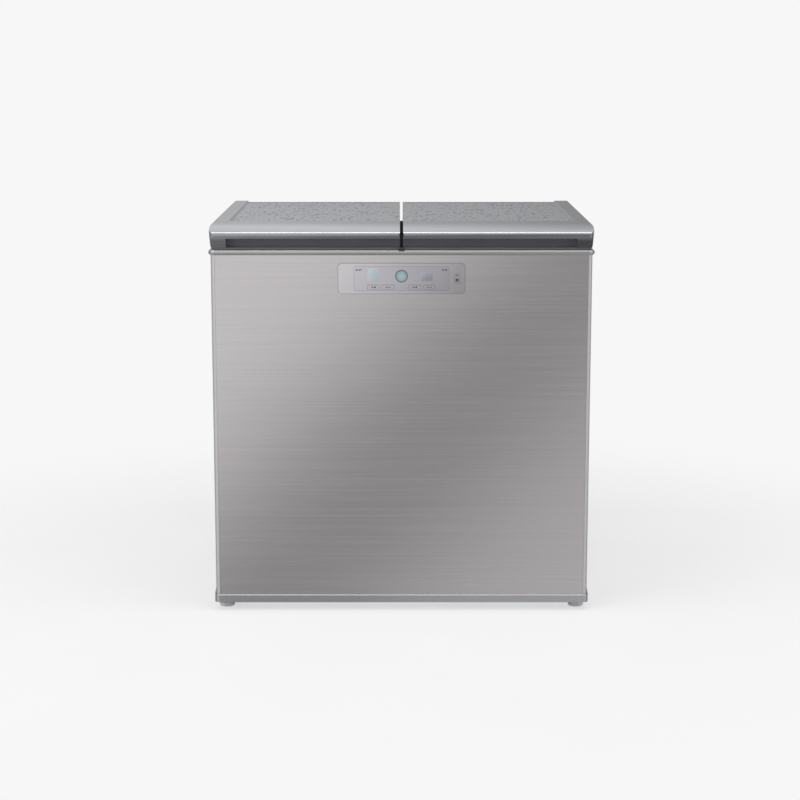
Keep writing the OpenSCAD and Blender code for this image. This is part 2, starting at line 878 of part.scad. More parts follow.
module lid_frame() {
    nose_wall = 4;
    difference() {
        lid_form();
        panel_bed(0);
        block(recess_x0, inner_x, recess_y, lid_rear - lid_skin, flange_z - past, cavity_top);
        block(gap_x - past, recess_x1, lid_front - past, recess_y + plug_t, flange_z - past, recess_z);
        block(recess_x0 + nose_wall, recess_x1 - nose_wall, nose_y + nose_wall, recess_y + past,
            recess_z + nose_wall - 1, nose_z + nose_r - nose_wall - 1);
    }
}

module lid_panel() {
    block(gap_x, band_x - slack, strip_y + slack, lid_rear, lid_panel_z - panel_t, lid_panel_z);
}

module lid_inner() {
    inset = 1.5;
    wall_y = recess_y + plug_t;
    difference() {
        union() {
            translate([0, 0, lid_z]) linear_extrude(flange_h) difference() {
                lid_plan(inset, lid_front + tuck);
                translate([foot_x - inset, lid_front]) square([lid_side, cabinet_d + lid_side]);
            }
            rounded_block(plug_x0, plug_x1, plug_y0, plug_y1, plug_z, lid_z + past, plug_r);
            block(gap_x, recess_x1, recess_y, wall_y, flange_z - past, recess_z);
        }
        rounded_block(plug_x0 + plug_t, plug_x1 - plug_t, plug_y0 + plug_t, plug_y1 - plug_t,
            plug_z + plug_t, flange_z + past, plug_r - plug_t);
    }
}

plug_x0 = mouth_x0 + lip_in + plug_gap;
plug_x1 = mouth_x1 - lip_in - plug_gap;
plug_y0 = mouth_y0 + lip_in + plug_gap;
plug_y1 = mouth_y1 - lip_in - plug_gap;
plug_r = mouth_r - lip_in - plug_gap;

module lid_foam() {
    rounded_block(plug_x0 + plug_t, plug_x1 - plug_t, plug_y0 + plug_t, plug_y1 - plug_t,
        plug_z + plug_t, flange_z + past, plug_r - plug_t);
    block(recess_x0, inner_x, recess_y + plug_t, lid_rear - lid_skin, flange_z, cavity_top);
}

// Hollow magnetic seal under the flange, resting on the rim's land
module lid_gasket() {
    out = gasket_w + 2;
    bulb = 1.5;
    z0 = land_z + slack;
    difference() {
        rounded_block(plug_x0 - out, plug_x1 + out, plug_y0 - out, plug_y1 + out, z0, lid_z, plug_r + out);
        rounded_block(plug_x0 - out + gasket_w, plug_x1 + out - gasket_w, plug_y0 - out + gasket_w,
            plug_y1 + out - gasket_w, z0 - past, lid_z + past, plug_r + out - gasket_w);
        difference() {
            rounded_block(plug_x0 - out - past, plug_x1 + out + past, plug_y0 - out - past,
                plug_y1 + out + past, z0 + 2.5, z0 + 4.5, plug_r + out + past);
            rounded_block(plug_x0 - out + bulb, plug_x1 + out - bulb, plug_y0 - out + bulb,
                plug_y1 + out - bulb, z0 + 2.4, z0 + 4.6, plug_r + out - bulb);
        }
    }
}

module lid_frame_right() {
    color("gainsboro") lid_frame();
}

module lid_frame_left() {
    color("gainsboro") mirror([1, 0, 0]) lid_frame();
}

module lid_panel_right() {
    color("darkgray") lid_panel();
}

module lid_panel_left() {
    color("darkgray") mirror([1, 0, 0]) lid_panel();
}

module lid_inner_right() {
    color("dimgray") lid_inner();
}

module lid_inner_left() {
    color("dimgray") mirror([1, 0, 0]) lid_inner();
}

module lid_foam_right() {
    color("khaki") lid_foam();
}

module lid_foam_left() {
    color("khaki") mirror([1, 0, 0]) lid_foam();
}

module lid_gasket_right() {
    color("darkslategray") lid_gasket();
}

module lid_gasket_left() {
    color("darkslategray") mirror([1, 0, 0]) lid_gasket();
}

// Hinges

module hinge_arm() {
    low = hinge_z - arm_down;
    difference() {
        union() {
            block(-hinge_w / 2, hinge_w / 2, lid_rear, lid_rear + arm_t, low, hinge_z + arm_up);
            for (s = [-1, 1]) {
                x0 = s > 0 ? hinge_w / 4 + slack : -hinge_w / 2;
                length = hinge_w / 4 - slack;
                translate([0, hinge_y, hinge_z]) rod(x0, x0 + length, barrel_r);
                side_run(x0, x0 + length)
                    polygon([
                        [lid_rear, low], [hinge_y, hinge_z - barrel_r], [hinge_y, hinge_z + barrel_r],
                        [lid_rear + arm_t, hinge_z + knuckle_up], [lid_rear, hinge_z + knuckle_up]
                    ]);
            }
        }
        translate([0, hinge_y, hinge_z]) rod(-hinge_w, hinge_w, pin_r + fit_gap);
    }
}

module hinge_bracket() {
    low = hinge_z - bracket_h;
    foot = low + bracket_h / 4;
    lobe = hinge_w / 4 - slack;
    difference() {
        union() {
            block(-hinge_w / 2, hinge_w / 2, back_y, back_y + bracket_t, low, hinge_z - bracket_drop);
            translate([0, hinge_y, hinge_z]) rod(-lobe, lobe, barrel_r);
            side_run(-lobe, lobe)
                polygon([
                    [back_y, foot], [back_y + bracket_t, foot],
                    [hinge_y + barrel_r, hinge_z - bracket_drop * 0.75], [hinge_y + barrel_r, hinge_z],
                    [hinge_y - barrel_r, hinge_z], [back_y, hinge_z - bracket_drop / 2]
                ]);
        }
        translate([0, hinge_y, hinge_z]) rod(-hinge_w, hinge_w, pin_r + fit_gap);
        for (s = [-1, 1])
            translate([s * hinge_w / 3, back_y - past, (low + foot) / 2]) rotate([-90, 0, 0])
                cylinder(h = bracket_t + 2 * past, r = 2.5);
    }
}

module hinge_arms_right() {
    color("dimgray") for (x = hinge_xs) translate([x, 0, 0]) hinge_arm();
}

module hinge_arms_left() {
    color("dimgray") for (x = hinge_xs) translate([-x, 0, 0]) hinge_arm();
}

module hinge_brackets() {
    color("slategray") for (x = hinge_xs, s = [-1, 1]) translate([s * x, 0, 0]) hinge_bracket();
}

module hinge_pins() {
    color("silver") for (x = hinge_xs, s = [-1, 1]) translate([s * x, hinge_y, hinge_z]) {
        rod(-hinge_w / 2 - 2, hinge_w / 2 + 2, pin_r);
        rod(hinge_w / 2 + slack, hinge_w / 2 + 3, pin_r + 2);
        rod(-hinge_w / 2 - 3, -hinge_w / 2 - slack, pin_r + 2);
    }
}

// Control panel

module control_bezel() {
    color("silver") difference() {
        front_plate(bezel_y, front_y)
            rounded_box(-bezel_w / 2, bezel_w / 2, bezel_z - bezel_h / 2, bezel_z + bezel_h / 2, bezel_r);
        front_plate(bezel_y - past, front_y + past)
            rounded_box(-window_w / 2, window_w / 2, bezel_z - window_h / 2, bezel_z + window_h / 2, 5);
        front_plate(bezel_y - past, front_y + past)
            translate([lock_x, bezel_z]) key_outline(lock_w, lock_h, key_gap);
    }
}

module key_outline(w, h, grow) {
    rounded_box(-w / 2 - grow, w / 2 + grow, -h / 2 - grow, h / 2 + grow, 2 + grow);
}

key_places = [-key_out, -key_in, key_in, key_out];
key_z = bezel_z - key_down;
button_z = bezel_z + button_up;

module display_window() {
    g = 0.2;
    color("lightsteelblue") difference() {
        front_plate(window_y, window_y + window_t)
            rounded_box(-window_w / 2 + g, window_w / 2 - g, bezel_z - window_h / 2 + g,
                bezel_z + window_h / 2 - g, 5 - g);
        translate([0, window_y - past, button_z]) rotate([-90, 0, 0])
            cylinder(h = window_t + 2 * past, r = button_r + key_gap);
        for (x = key_places)
            front_plate(window_y - past, window_y + window_t + past)
                translate([x, key_z]) key_outline(key_w, key_h, key_gap);
    }
}

module button_ring() {
    ring_out = 0.8;
    color("slategray") translate([0, window_y - ring_out, button_z]) rotate([-90, 0, 0]) difference() {
        cylinder(h = ring_out, r = ring_r);
        translate([0, 0, -past]) cylinder(h = ring_out + 2 * past, r = button_r + key_gap);
    }
}

module round_button() {
    y0 = window_y - key_out_y - 0.6;
    color("powderblue") {
        translate([0, y0, button_z]) rotate([-90, 0, 0]) cylinder(h = window_t + 2, r = button_r);
        translate([0, y0 + 1, button_z]) rotate([-90, 0, 0])
            cylinder(h = board_y - travel - slack - y0 - 1, r = 3);
    }
}

module key_cap(x) {
    y0 = window_y - key_out_y;
    color("lightgray") translate([x, 0, key_z]) {
        front_plate(y0, y0 + window_t + 2) key_outline(key_w, key_h, 0);
        translate([0, y0 + 1, 0]) rotate([-90, 0, 0])
            cylinder(h = board_y - travel - slack - y0 - 1, r = 2);
    }
}

module key_1() { key_cap(key_places[0]); }

module key_2() { key_cap(key_places[1]); }

module key_3() { key_cap(key_places[2]); }

module key_4() { key_cap(key_places[3]); }

module lock_key() {
    y0 = bezel_y - key_out_y;
    color("lightgray") front_plate(y0, front_y + 8)
        translate([lock_x, bezel_z]) key_outline(lock_w, lock_h, 0);
}

module display_board() {
    x1 = pocket_w / 2 - housing_t - 1;
    z1 = pocket_h / 2 - housing_t - 1;
    color("seagreen") {
        block(-x1, x1, board_y, board_y + 1.6, bezel_z - z1, bezel_z + z1);
        block(-x1 + 12, -key_out + 24, board_y - 8, board_y, bezel_z - 8, bezel_z + 18);
        block(key_out - 24, x1 - 12, board_y - 8, board_y, bezel_z - 8, bezel_z + 18);
        block(-30, 30, board_y + 1.6, board_y + 8, bezel_z - 12, bezel_z + 12);
    }
}

module control_housing() {
    w = pocket_w / 2;
    h = pocket_h / 2;
    y0 = front_y + sheet_t;
    y1 = front_y + pocket_d;
    t = housing_t;
    post_y = board_y + 1.6;
    color("gray") {
        difference() {
            block(-w, w, y0, y1, bezel_z - h, bezel_z + h);
            block(-w + t, w - t, y0 - past, y1 - t, bezel_z - h + t, bezel_z + h - t);
        }
        for (sx = [-1, 1], sz = [-1, 1])
            translate([sx * (w - t - 8), post_y, bezel_z + sz * (h - t - 8)]) rotate([-90, 0, 0])
                cylinder(h = y1 - t - post_y + 0.5, r = 3);
    }
}

// Machine room

module compressor() {
    dome = 26;
    cap_r = (can_r * can_r + dome * dome) / (2 * dome);
    color("#26282b") {
        translate([can_x, can_y, can_z]) {
            rotate_extrude() intersection() {
                translate([0, ear_t]) square([can_r, can_h]);
                translate([0, ear_t + can_h - cap_r]) circle(cap_r, $fn = 180);
            }
            rotate_extrude() translate([0, can_h * 0.55]) square([can_r + 4, 4]);
            difference() {
                linear_extrude(ear_t) square([2 * ear_x + 32, 2 * ear_y + 32], center = true);
                for (sx = [-1, 1], sy = [-1, 1])
                    translate([sx * ear_x, sy * ear_y, -past])
                        cylinder(h = ear_t + 2 * past, r = 8);
            }
            translate([-can_r - 16, -26, 40]) cube([can_r, 52, 62]);
        }
        pipe([[can_x + can_r - 10, can_y - 30, can_z + 60], suction_end], 4);
        pipe([[can_x + can_r - 10, can_y + 30, can_z + 60], discharge_end], 3);
    }
}

suction_end = [can_x + can_r + 16, can_y - 30, can_z + 60];
discharge_end = [can_x + can_r + 16, can_y + 30, can_z + 60];

module compressor_mounts() {
    color("#1c1c1c") translate([can_x, can_y, base_top])
        for (sx = [-1, 1], sy = [-1, 1])
            translate([sx * ear_x, sy * ear_y, 0]) {
                cylinder(h = mount_h, r = 12);
                cylinder(h = mount_h + ear_t + past, r = 7.5);
                translate([0, 0, mount_h + ear_t + slack]) cylinder(h = 4, r = 12);
            }
}

module condenser_tube() {
    over = 14;
    y0 = fin_y0 - over;
    y1 = fin_y1 + over;
    bend = tube_step / 2;
    across = (tube_xs[1] - tube_xs[0]) / 2;
    color("peru") {
        for (x = tube_xs, i = [0 : tube_rows - 1])
            pipe([[x, y0, tube_z0 + i * tube_step], [x, y1, tube_z0 + i * tube_step]], tube_r);
        for (x = tube_xs, i = [0 : tube_rows - 2])
            translate([x, i % 2 == 0 ? y1 : y0, tube_z0 + i * tube_step + bend])
                rotate([i % 2 == 0 ? 0 : 180, 0, 0]) rotate([0, 90, 0]) u_bend(bend);
        translate([tube_xs[0] + across, tube_rows % 2 == 0 ? y0 : y1,
                tube_z0 + (tube_rows - 1) * tube_step])
            rotate([0, 0, tube_rows % 2 == 0 ? 180 : 0]) u_bend(across);
    }
}

// Half turn of tube towards +Y, in the XY plane
module u_bend(bend) {
    rotate_extrude(angle = 180) translate([bend, 0]) circle(tube_r);
}

module condenser_fins() {
    fin_t = 0.8;
    foot = 12;
    color("silver") {
        for (i = [0 : fin_count - 1]) translate([0, fin_y0 + i * fin_pitch, 0]) difference() {
            block(fin_x0, fin_x1, -fin_t / 2, fin_t / 2, fin_z0 + 6, fin_z0 + fin_h);
            for (x = tube_xs, k = [0 : tube_rows - 1])
                translate([x, -past, tube_z0 + k * tube_step]) rotate([-90, 0, 0])
                    cylinder(h = 2 * past, r = tube_r + 0.1);
        }
        for (y = [fin_y0 - 5, fin_y1 + 4]) difference() {
            union() {
                block(fin_x0 - 3, fin_x1 + 3, y, y + 1.2, base_top, fin_z0 + fin_h + 3);
                block(fin_x0 - 3, fin_x1 + 3, y, y + foot, base_top, base_top + 1.6);
            }
            for (x = tube_xs, k = [0 : tube_rows - 1])
                translate([x, y - past, tube_z0 + k * tube_step]) rotate([-90, 0, 0])
                    cylinder(h = 2 * past + 2, r = tube_r + 0.1);
        }
    }
}

module filter_drier() {
    r = 9;
    h = 90;
    z0 = base_top + 60;
    color("peru") translate([drier_x, fan_y - 60, z0]) rotate_extrude() {
        square([r, h]);
        translate([0, -14]) square([3, h + 28]);
        translate([0, -6]) square([6, h + 12]);
    }
}

drier_low = [drier_x, fan_y - 60, base_top + 46];
drier_high = [drier_x, fan_y - 60, base_top + 164];

module refrigerant_pipes() {
    tube_in = [tube_xs[1], fin_y0 - 14, tube_z0];
    tube_out = [tube_xs[0], fin_y0 - 14, tube_z0];
    low = base_top + 12;
    high = machine_top - 14;
    color("peru") {
        pipe([discharge_end, [discharge_end.x + 20, discharge_end.y, discharge_end.z],
            [discharge_end.x + 20, discharge_end.y, low], [discharge_end.x + 20, machine_y + 10, low],
            [tube_in.x, machine_y + 10, low], [tube_in.x, machine_y + 10, tube_in.z],
            tube_in + [0, -0.2, 0]], 3);
        pipe([tube_out + [0, -0.2, 0], [tube_out.x, machine_y + 10, tube_out.z],
            [drier_x, machine_y + 10, tube_out.z], [drier_x, drier_low.y, tube_out.z],
            drier_low], 2.5);
        pipe([suction_end, [suction_end.x + 44, suction_end.y, suction_end.z],
            [suction_end.x + 44, suction_end.y, high + 13]], 4);
        pipe([drier_high, [drier_x, drier_high.y, high + 13]], 2);
    }
}

// Plate that parts the fan's inlet from its outlet, with a ring round the blades
module fan_shroud() {
    t = 2;
    y0 = machine_y + slack + 16;
    y1 = back_y - 18;
    z0 = base_top;
    z1 = machine_top - slack;
    ring = fan_r + 3;
    color("dimgray") difference() {
        union() {
            block(fan_x, fan_x + t, y0, y1, z0, z1);
            translate([0, fan_y, fan_z]) rod(fan_x, fan_x + 22, ring + t);
            block(fan_x - 12, fan_x + t, y0, y1, z0, z0 + t);
        }
        difference() {
            translate([0, fan_y, fan_z]) rod(fan_x - 20, fan_x + 40, ring);
            for (a = [90, 210, 330]) translate([fan_x, fan_y, fan_z]) rotate([a, 0, 0])
                block(-past, 3, 12, ring + 1, -4, 4);
            translate([0, fan_y, fan_z]) rod(fan_x - past, fan_x + 3, 22);
        }
        translate([0, fan_y, fan_z]) rod(fan_x - 20, fan_x + 40, 6);
    }
}

motor_l = 34;

module fan_motor() {
    shaft_r = 2.5;
    color("silver") translate([0, fan_y, fan_z]) {
        rod(fan_x - motor_l, fan_x, 20);
        rod(fan_x - motor_l - 3, fan_x - motor_l + 2, 8);
        rod(fan_x - past, fan_x + 24, shaft_r);
        for (a = [0 : 60 : 300]) rotate([a, 0, 0]) block(fan_x - motor_l + 6, fan_x - 4, 19, 22, -2, 2);
    }
}

module fan_blade() {
    hub_r = 20;
    hub_x0 = fan_x + 5;
    hub_l = 16;
    blade_t = 2;
    blade_w = 34;
    pitch = 28;
    color("whitesmoke") translate([0, fan_y, fan_z]) difference() {
        union() {
            rod(hub_x0, hub_x0 + hub_l, hub_r);
            intersection() {
                rod(hub_x0, hub_x0 + hub_l + 4, fan_r);
                for (i = [0 : fan_blades - 1]) rotate([i * 360 / fan_blades, 0, 0])
                    translate([hub_x0 + hub_l / 2, 0, 0]) rotate([0, 0, pitch]) rotate([90, 0, 0])
                        translate([0, 0, -blade_t / 2]) linear_extrude(blade_t)
                            polygon([[-blade_w / 3, hub_r - 6], [blade_w / 3, hub_r - 6],
                                [blade_w * 0.62, fan_r * 0.75], [blade_w / 2, fan_r + 5],
                                [-blade_w / 2, fan_r + 5], [-blade_w * 0.55, fan_r * 0.6]]);
            }
        }
        rod(hub_x0 - past, hub_x0 + hub_l + past, 2.5 + fit_gap);
    }
}

module board_tray() {
    t = tray_t;
    color("gray") difference() {
        block(tray_x0, tray_x1, tray_y0, tray_y1, tray_z0, tray_z0 + tray_h);
        block(tray_x0 + t, tray_x1 - t, tray_y0 + t, tray_y1 + past, tray_z0 + t, tray_z0 + tray_h - t);
    }
}

module power_board() {
    y0 = tray_y0 + tray_t + board_gap;
    y1 = y0 + board_t;
    x0 = tray_x0 + board_gap;
    x1 = tray_x1 - board_gap;
    z0 = tray_z0 + board_gap;
    z1 = tray_z0 + tray_h - board_gap;
    w = x1 - x0;
    h = z1 - z0;
    deep = (tray_y1 - y1) * 0.24;
    post = board_gap * 0.75;
    color("seagreen") {
        block(x0, x1, y0, y1, z0, z1);
        for (sx = [x0 + post, x1 - post], sz = [z0 + post, z1 - post])
            translate([sx, y0 - board_gap, sz]) rotate([-90, 0, 0]) cylinder(h = board_gap, r = post / 2);
        block(x0 + w * 0.1, x0 + w * 0.46, y1, y1 + deep, z0 + h * 0.12, z0 + h * 0.42);
        for (i = [0 : 2])
            translate([x1 - w * 0.16, y1, z0 + h * (0.21 + i * 0.25)]) rotate([-90, 0, 0])
                cylinder(h = deep * 0.95, r = w * 0.08);
        block(x0 + w * 0.1, x0 + w * 0.52, y1, y1 + deep * 0.4, z1 - h * 0.3, z1 - h * 0.09);
    }
}

// Rear cover of the machine room, with pressed louvres

cover_x = side_x - sheet_t - slack;
cover_z0 = base_top + slack;
cover_z1 = machine_top - slack;
gland_x = -cover_x + 70;
gland_z = base_top + 34;

module machine_cover() {
    hood = 7;
    field = 2 * cover_x - 180;
    slot_w = field / louvre_columns - 26;
    z_first = (cover_z0 + cover_z1) / 2 - (louvre_rows - 1) * louvre_pitch / 2;
    t = sheet_t;
    color("gainsboro") difference() {
        union() {
            block(-cover_x, cover_x, back_y - t, back_y, cover_z0, cover_z1);
            for (c = [0 : louvre_columns - 1], k = [0 : louvre_rows - 1])
                translate([louvre_x(c, field), 0, z_first + k * louvre_pitch])
                    side_run(-slot_w / 2, slot_w / 2)
                        polygon([[back_y - 0.5, 6], [back_y + hood - 1, -1], [back_y + hood, -3],
                            [back_y + hood - 1, -3], [back_y - 0.5, 4.5]]);
        }
        for (c = [0 : louvre_columns - 1], k = [0 : louvre_rows - 1])
            translate([louvre_x(c, field), 0, z_first + k * louvre_pitch])
                block(-slot_w / 2 + t, slot_w / 2 - t, back_y - t - past, back_y + past, -5, 3.6);
        translate([gland_x, back_y - t - past, gland_z]) rotate([-90, 0, 0])
            cylinder(h = t + 2 * past, r = gland_r);
        for (x = screw_xs, z = screw_zs)
            translate([x, back_y - t - past, z]) rotate([-90, 0, 0]) cylinder(h = t + 2 * past, r = 2.2);
    }
}

function louvre_x(c, field) = (c + 0.5) * field / louvre_columns - field / 2;

screw_xs = [-cover_x + 20, -cover_x / 3, cover_x / 3, cover_x - 20];
screw_zs = [cover_z0 + 9, cover_z1 - 9];

module cover_screws() {
    color("silver") for (x = screw_xs, z = screw_zs) translate([x, back_y, z]) rotate([-90, 0, 0]) {
        cylinder(h = 2.4, r = 4.5);
        translate([0, 0, -8]) cylinder(h = 8.5, r = 2);
    }
}

module cord_gland() {
    t = sheet_t;
    color("#1c1c1c") translate([gland_x, back_y, gland_z]) rotate([-90, 0, 0]) difference() {
        union() {
            translate([0, 0, -t - 3]) cylinder(h = 3, r = gland_r + 3);
            translate([0, 0, -t - 3]) cylinder(h = t + 5, r = gland_r - 0.05);
            translate([0, 0, 0]) cylinder(h = 3, r = gland_r + 3);
            cylinder(h = 12, r1 = gland_r, r2 = gland_r - 3);
        }
        translate([0, 0, -t - 4]) cylinder(h = t + 20, r = 4);
    }
}

base_frame();
base_trim();
front_panel();
side_panel_left();
side_panel_right();
back_panel();
insulation();
liner_left();
liner_right();
evaporator_left();
evaporator_right();
top_frame();
machine_deck();
machine_cover();
cover_screws();
cord_gland();
compressor();
compressor_mounts();
condenser_tube();
condenser_fins();
filter_drier();
refrigerant_pipes();
fan_shroud();
fan_motor();
fan_blade();
board_tray();
power_board();
display_board();
control_housing();
control_bezel();
display_window();
button_ring();
hinge_brackets();
hinge_pins();
roller_brackets();
roller_axles();
temperature_sensors();
lid_frame_left();
lid_panel_left();
lid_inner_left();
lid_foam_left();
lid_gasket_left();
hinge_arms_left();
lid_frame_right();
lid_panel_right();
lid_inner_right();
lid_foam_right();
lid_gasket_right();
hinge_arms_right();
round_button();
key_1();
key_2();
key_3();
key_4();
lock_key();
front_foot_left();
front_foot_right();
rear_roller_left();
rear_roller_right();
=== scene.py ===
# %% [markdown]
# # Dressing a chest kimchi refrigerator
#
# The solid model of this refrigerator is already built and packed: a wide, low cabinet with two lids on
# top, a brushed steel front, a small control panel and a machine room at the rear. This lesson gives it its
# looks. It sets up the camera and a plain studio, gives every surface a finish made of nodes, and models
# the small printed and moulded marks that were too fine for the solid model.

# %% Load the frame
import json
import math

import bmesh
import bpy
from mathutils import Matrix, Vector


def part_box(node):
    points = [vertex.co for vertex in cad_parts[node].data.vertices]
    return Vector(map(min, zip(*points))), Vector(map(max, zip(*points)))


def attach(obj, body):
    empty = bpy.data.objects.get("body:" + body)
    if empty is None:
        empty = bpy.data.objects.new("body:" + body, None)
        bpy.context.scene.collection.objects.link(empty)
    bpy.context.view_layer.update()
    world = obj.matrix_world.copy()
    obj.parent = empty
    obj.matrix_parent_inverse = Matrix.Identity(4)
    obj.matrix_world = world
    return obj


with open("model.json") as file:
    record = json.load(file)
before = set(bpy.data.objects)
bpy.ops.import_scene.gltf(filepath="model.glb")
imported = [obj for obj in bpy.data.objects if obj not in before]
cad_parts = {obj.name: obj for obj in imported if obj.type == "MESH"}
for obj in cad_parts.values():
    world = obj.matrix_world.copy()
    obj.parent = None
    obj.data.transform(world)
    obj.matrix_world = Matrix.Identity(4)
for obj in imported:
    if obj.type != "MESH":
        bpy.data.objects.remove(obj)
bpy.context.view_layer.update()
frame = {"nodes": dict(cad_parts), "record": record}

# %% [markdown]
# ## The camera
#
# The photograph looks straight at the front from a little above the lids, with a long lens, so the sides
# hardly show. A lens of about 88 mm nearly five metres away gives the same small narrowing of the lids
# towards the back. The camera is tilted down and not shifted, so that it also serves for the other views.

# %% Place the camera
focal_length = 87.7
camera_place = (-0.0035, -4.836, 1.329)
camera_tilt = 10.42

lens = bpy.data.cameras.new("front_camera")
lens.lens = focal_length
lens.sensor_width = 36
lens.clip_end = 60
camera = bpy.data.objects.new("front_camera", lens)
bpy.context.scene.collection.objects.link(camera)
camera.location = camera_place
camera.rotation_euler = (math.radians(90 - camera_tilt), 0, 0)
bpy.context.scene.camera = camera
bpy.context.scene.view_settings.view_transform = "Standard"
print("camera at", camera_place, "tilted down", camera_tilt, "degrees")

# %% [markdown]
# ## Small tools for node trees
#
# Every finish below is a node tree. A few short helpers keep those trees readable. The first ones choose a
# colour, add a node with its settings, and start a material with one shader.

# %% Start a finish
BLACK = (0, 0, 0, 1)
FINISHES = {}


def srgb(*values):
    """Colour picked as 0 to 255 values, turned into the linear colour that a shader wants."""
    linear = []
    for value in values:
        c = value / 255
        linear.append(c / 12.92 if c <= 0.04045 else ((c + 0.055) / 1.055) ** 2.4)
    return (*linear, 1.0)


def tone(colour, factor):
    """The same colour, made lighter or darker."""
    return (*[min(1.0, c * factor) for c in colour[:3]], 1.0)


def add(tree, kind, inputs=None, **settings):
    """Adds one node, sets its options by name and its inputs by name or number."""
    node = tree.nodes.new("ShaderNode" + kind)
    for key, value in settings.items():
        setattr(node, key, value)
    for key, value in (inputs or {}).items():
        if isinstance(value, bpy.types.NodeSocket):
            tree.links.new(value, node.inputs[key])
        else:
            node.inputs[key].default_value = value
    return node


def new_finish(name, roughness, metallic=0.0, coat=0.0, specular=0.5, anisotropic=0.0):
    """A material with one Principled shader, whose constants sit on its own sockets."""
    material = bpy.data.materials.new(name)
    material.use_nodes = True
    tree = material.node_tree
    shader = tree.nodes["Principled BSDF"]
    constants = {"Roughness": roughness, "Metallic": metallic, "Coat Weight": coat, "Coat Roughness": 0.1,
                 "Specular IOR Level": specular, "Anisotropic": anisotropic}
    for socket, value in constants.items():
        shader.inputs[socket].default_value = value
    return material, tree, shader


print("white in linear light", srgb(255, 255, 255))

# %% [markdown]
# The next helpers make patterns and put them to use. One gives noise that is squeezed along chosen
# directions, and the others turn a pattern into a range of values, a mix of two colours or a bump. The
# patterns read Object coordinates, which are metres here, so a scale of 100 means a grain of about a
# centimetre.

# %% Patterns
def place(tree, scale=(1, 1, 1)):
    """Object coordinates, stretched by scale."""
    coords = add(tree, "TexCoord")
    return add(tree, "Mapping", {"Vector": coords.outputs["Object"], "Scale": scale}).outputs[0]


def position(tree):
    """The X, Y and Z of the shaded point, as three outputs."""
    return add(tree, "SeparateXYZ", {0: place(tree)}).outputs


def grain(tree, scale, squeeze=(1, 1, 1), detail=3.0, rough=0.55, warp=0.0):
    """Noise of a given scale, squeezed along each axis."""
    noise = add(tree, "TexNoise", {"Vector": place(tree, squeeze), "Scale": scale, "Detail": detail,
                                   "Roughness": rough, "Distortion": warp})
    return noise.outputs["Fac"]


def ranged(tree, value, low, high, start=0.3, end=0.7, curve="LINEAR"):
    """Runs from low to high while the value goes from start to end."""
    inputs = {0: value, 1: start, 2: end, 3: low, 4: high}
    return add(tree, "MapRange", inputs, interpolation_type=curve).outputs[0]


def mixed(tree, factor, first, second):
    return add(tree, "Mix", {0: factor, 6: first, 7: second}, data_type="RGBA").outputs[2]


def math_node(tree, operation, first, second=0.0):
    return add(tree, "Math", {0: first, 1: second}, operation=operation).outputs[0]


def bumped(tree, shader, height, distance, strength):
    bump = add(tree, "Bump", {"Height": height, "Distance": distance, "Strength": strength})
    wire(tree, bump.outputs[0], shader, "Normal")


def wire(tree, source, shader, socket):
    tree.links.new(source, shader.inputs[socket])


print("helpers ready")

# %% [markdown]
# ## Brushed steel front
#
# The front is a sheet of stainless steel, brushed from side to side. A brushed sheet shows long fine
# streaks and spreads reflections up and down. The streaks are noise squeezed hard along Z; one coarse and
# one fine layer drive the colour, the roughness and a very small bump. Real brushing also shows slow
# changes of tone, so a broad, weak noise shifts the colour a little.

# %% Brushed steel
def brushed_steel():
    material, tree, shader = new_finish("brushed_steel_front", 0.24, 1.0, anisotropic=0.35)
    fine = grain(tree, 1.0, (6, 40, 2200), detail=2.0, rough=0.7)
    coarse = grain(tree, 1.0, (2.0, 12, 380), detail=3.0, rough=0.6)
    broad = grain(tree, 2.2, detail=1.0)
    streaks = math_node(tree, "MULTIPLY", math_node(tree, "ADD", fine, coarse), 0.5)
    base = mixed(tree, ranged(tree, streaks, 0, 1, 0.38, 0.62), srgb(191, 189, 190), srgb(199, 197, 198))
    wire(tree, mixed(tree, ranged(tree, broad, 0, 0.35), base, srgb(193, 189, 190)), shader, "Base Color")
    wire(tree, ranged(tree, streaks, 0.20, 0.28), shader, "Roughness")
    bumped(tree, shader, streaks, 0.00002, 0.3)
    return material


FINISHES["front_steel"] = brushed_steel()
print("finish", FINISHES["front_steel"].name)

# %% [markdown]
# ## Painted and coated sheet
#
# The side panels are painted steel with the faint orange peel of a sprayed coat, and the hinge arms and the
# compressor have the same kind of coat in other tones. The back, the base, the machine room's sheets and
# the brackets are zinc-coated, whose crystals show as soft patches of lighter and darker grey. Cells of a
# Voronoi texture give those patches; noise would look like cloud and not like crystals.

# %% Paint and zinc coating
def sprayed_paint(name, colour, roughness, peel=0.00006, coat=0.2, silver=0.0):
    material, tree, shader = new_finish(name, roughness, silver, coat=coat)
    mottle = ranged(tree, grain(tree, 9, detail=4), 0, 1)
    dust = grain(tree, 160, detail=2)
    wire(tree, mixed(tree, mottle, tone(colour, 0.98), tone(colour, 1.02)), shader, "Base Color")
    wire(tree, ranged(tree, dust, roughness * 0.96, roughness * 1.04), shader, "Roughness")
    bumped(tree, shader, grain(tree, 420, detail=1), peel, 0.5)
    return material


def zinc_sheet(name, colour, roughness):
    material, tree, shader = new_finish(name, roughness, 0.85)
    cells = add(tree, "TexVoronoi", {"Vector": place(tree), "Scale": 95.0, "Randomness": 1.0})
    spangle = add(tree, "SeparateColor", {0: cells.outputs["Color"]}).outputs[0]
    scuffs = grain(tree, 30, (1, 1, 6), detail=5, rough=0.7)
    base = mixed(tree, spangle, tone(colour, 0.93), tone(colour, 1.06))
    base = mixed(tree, ranged(tree, scuffs, 0, 0.35, 0.5, 0.75), base, tone(colour, 0.7))
    wire(tree, base, shader, "Base Color")
    wire(tree, ranged(tree, spangle, roughness * 0.8, roughness * 1.25, 0, 1), shader, "Roughness")
    bumped(tree, shader, scuffs, 0.00005, 0.5)
    return material


